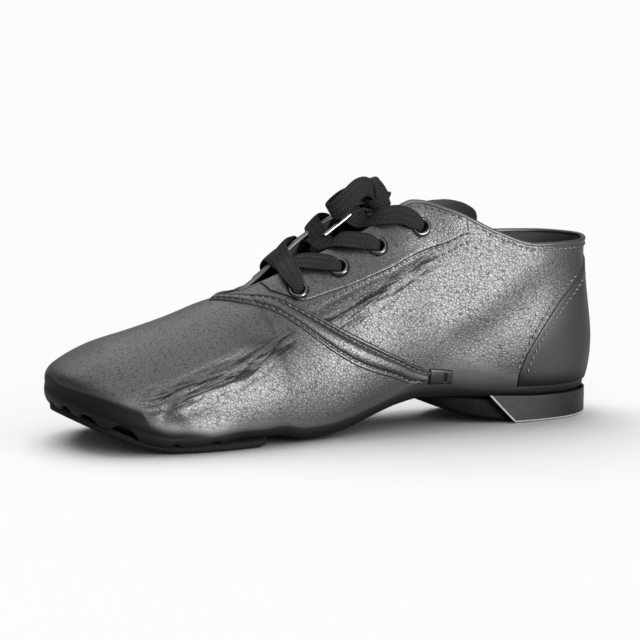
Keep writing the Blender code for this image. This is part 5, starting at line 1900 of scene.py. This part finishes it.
def cover_sheet(inset):
    """Grid of points from the floor to the upper's edge."""
    rows = []
    for share in COVER_SHARES:
        path = heel_path(inset, (BREAST_FOOT + (BREAST_TOP - BREAST_FOOT) * share) * PERCENT * LENGTH)
        top = seat(path[:, 0]) - GAP + COVER_RISE
        rows.append(np.column_stack([path, COVER_CLEAR + (top - COVER_CLEAR) * share]))
    return np.stack(rows, axis=1)


print("heel wrapped round", (run_along(heel_path(0.0, 0.05))[-1] / MM).round(), "mm")


# %% Heel wrap
def build_cover():
    outer = cover_sheet(-COVER_OUTSET)
    inner = cover_sheet(COVER_WALL - COVER_OUTSET)
    index = grid_of(outer.shape)
    quads = quads_of(index)
    ends = len(CUT_STEPS) - 1
    cut = np.ones((index.shape[0] - 1, index.shape[1] - 1), int)
    cut[ends:-ends, 1:] = 0
    on_top = np.isin(border_edges(quads), index[:, -1]).all(axis=1)
    slots = np.concatenate([cut.ravel(), cut.ravel(), 1 - on_top])
    points, faces = closed_sheet(outer.reshape(-1, 3), inner.reshape(-1, 3), quads)
    return make_piece("wrapped_heel", points, faces, [heel_wrap, cut_edge], slots)


stands_for(build_cover(), "heel_wrap", "heel_cover")

# %% [markdown]
# ## Floor and light
# Floor and light only show the boot. Black leather is drawn by its reflections, so the main light is
# a low, wide one on the camera's side, towards the heel, where quarter and forefoot mirror it. It
# gives only sheen, or the floor would turn white. A second one, high on the toe's side, shows the
# vamp's grain in the same way. A softer wash lights the floor and the pale cut edges, and a high
# light from behind gives the boot its shadow.

# %% Floor
FLOOR_SIZE = 400.0


def add_floor():
    bpy.ops.mesh.primitive_plane_add(size=FLOOR_SIZE, location=(0.0, 0.0, 0.0))
    floor = bpy.context.object
    floor.name = "studio_floor"
    material, tree, shader = start_material("pale_floor", (0.90, 0.90, 0.895), 0.8)
    shader.inputs["Specular IOR Level"].default_value = 0.1
    floor.data.materials.append(material)
    return floor


print("floor:", add_floor().name)

# %% Lights
LIGHT_DISTANCE = 2.0
SKY_STRENGTH = 0.2


def add_light(name, turn, lift, spread, strength, sheen=True, wash=True):
    """Soft light from a round part of the sky, the same all over the floor; angles in degrees."""
    data = bpy.data.lights.new(name, "SUN")
    data.angle = math.radians(spread)
    data.energy = strength
    light = bpy.data.objects.new(name, data)
    light.visible_glossy = sheen
    light.visible_diffuse = wash
    way = way_to(math.radians(turn), math.radians(lift))
    light.location = VIEW_AIM + way * LIGHT_DISTANCE
    light.rotation_euler = (-way).to_track_quat("-Z", "Y").to_euler()
    bpy.context.scene.collection.objects.link(light)


def light_world():
    world = bpy.data.worlds.new("studio_sky")
    world.use_nodes = True
    background = world.node_tree.nodes["Background"]
    background.inputs["Color"].default_value = (1.0, 1.0, 1.0, 1.0)
    background.inputs["Strength"].default_value = SKY_STRENGTH
    bpy.context.scene.world = world


add_light("front_light", -18, 13, 26, 14.5, wash=False)
add_light("upper_light", 25, 70, 50, 2.4, wash=False)
add_light("wash_light", -20, 50, 90, 0.8, sheen=False)
add_light("ceiling_light", 180, 60, 60, 2.5)
light_world()
bpy.context.scene.view_settings.view_transform = "Standard"
print("lights:", len(bpy.data.lights))

# %% [markdown]
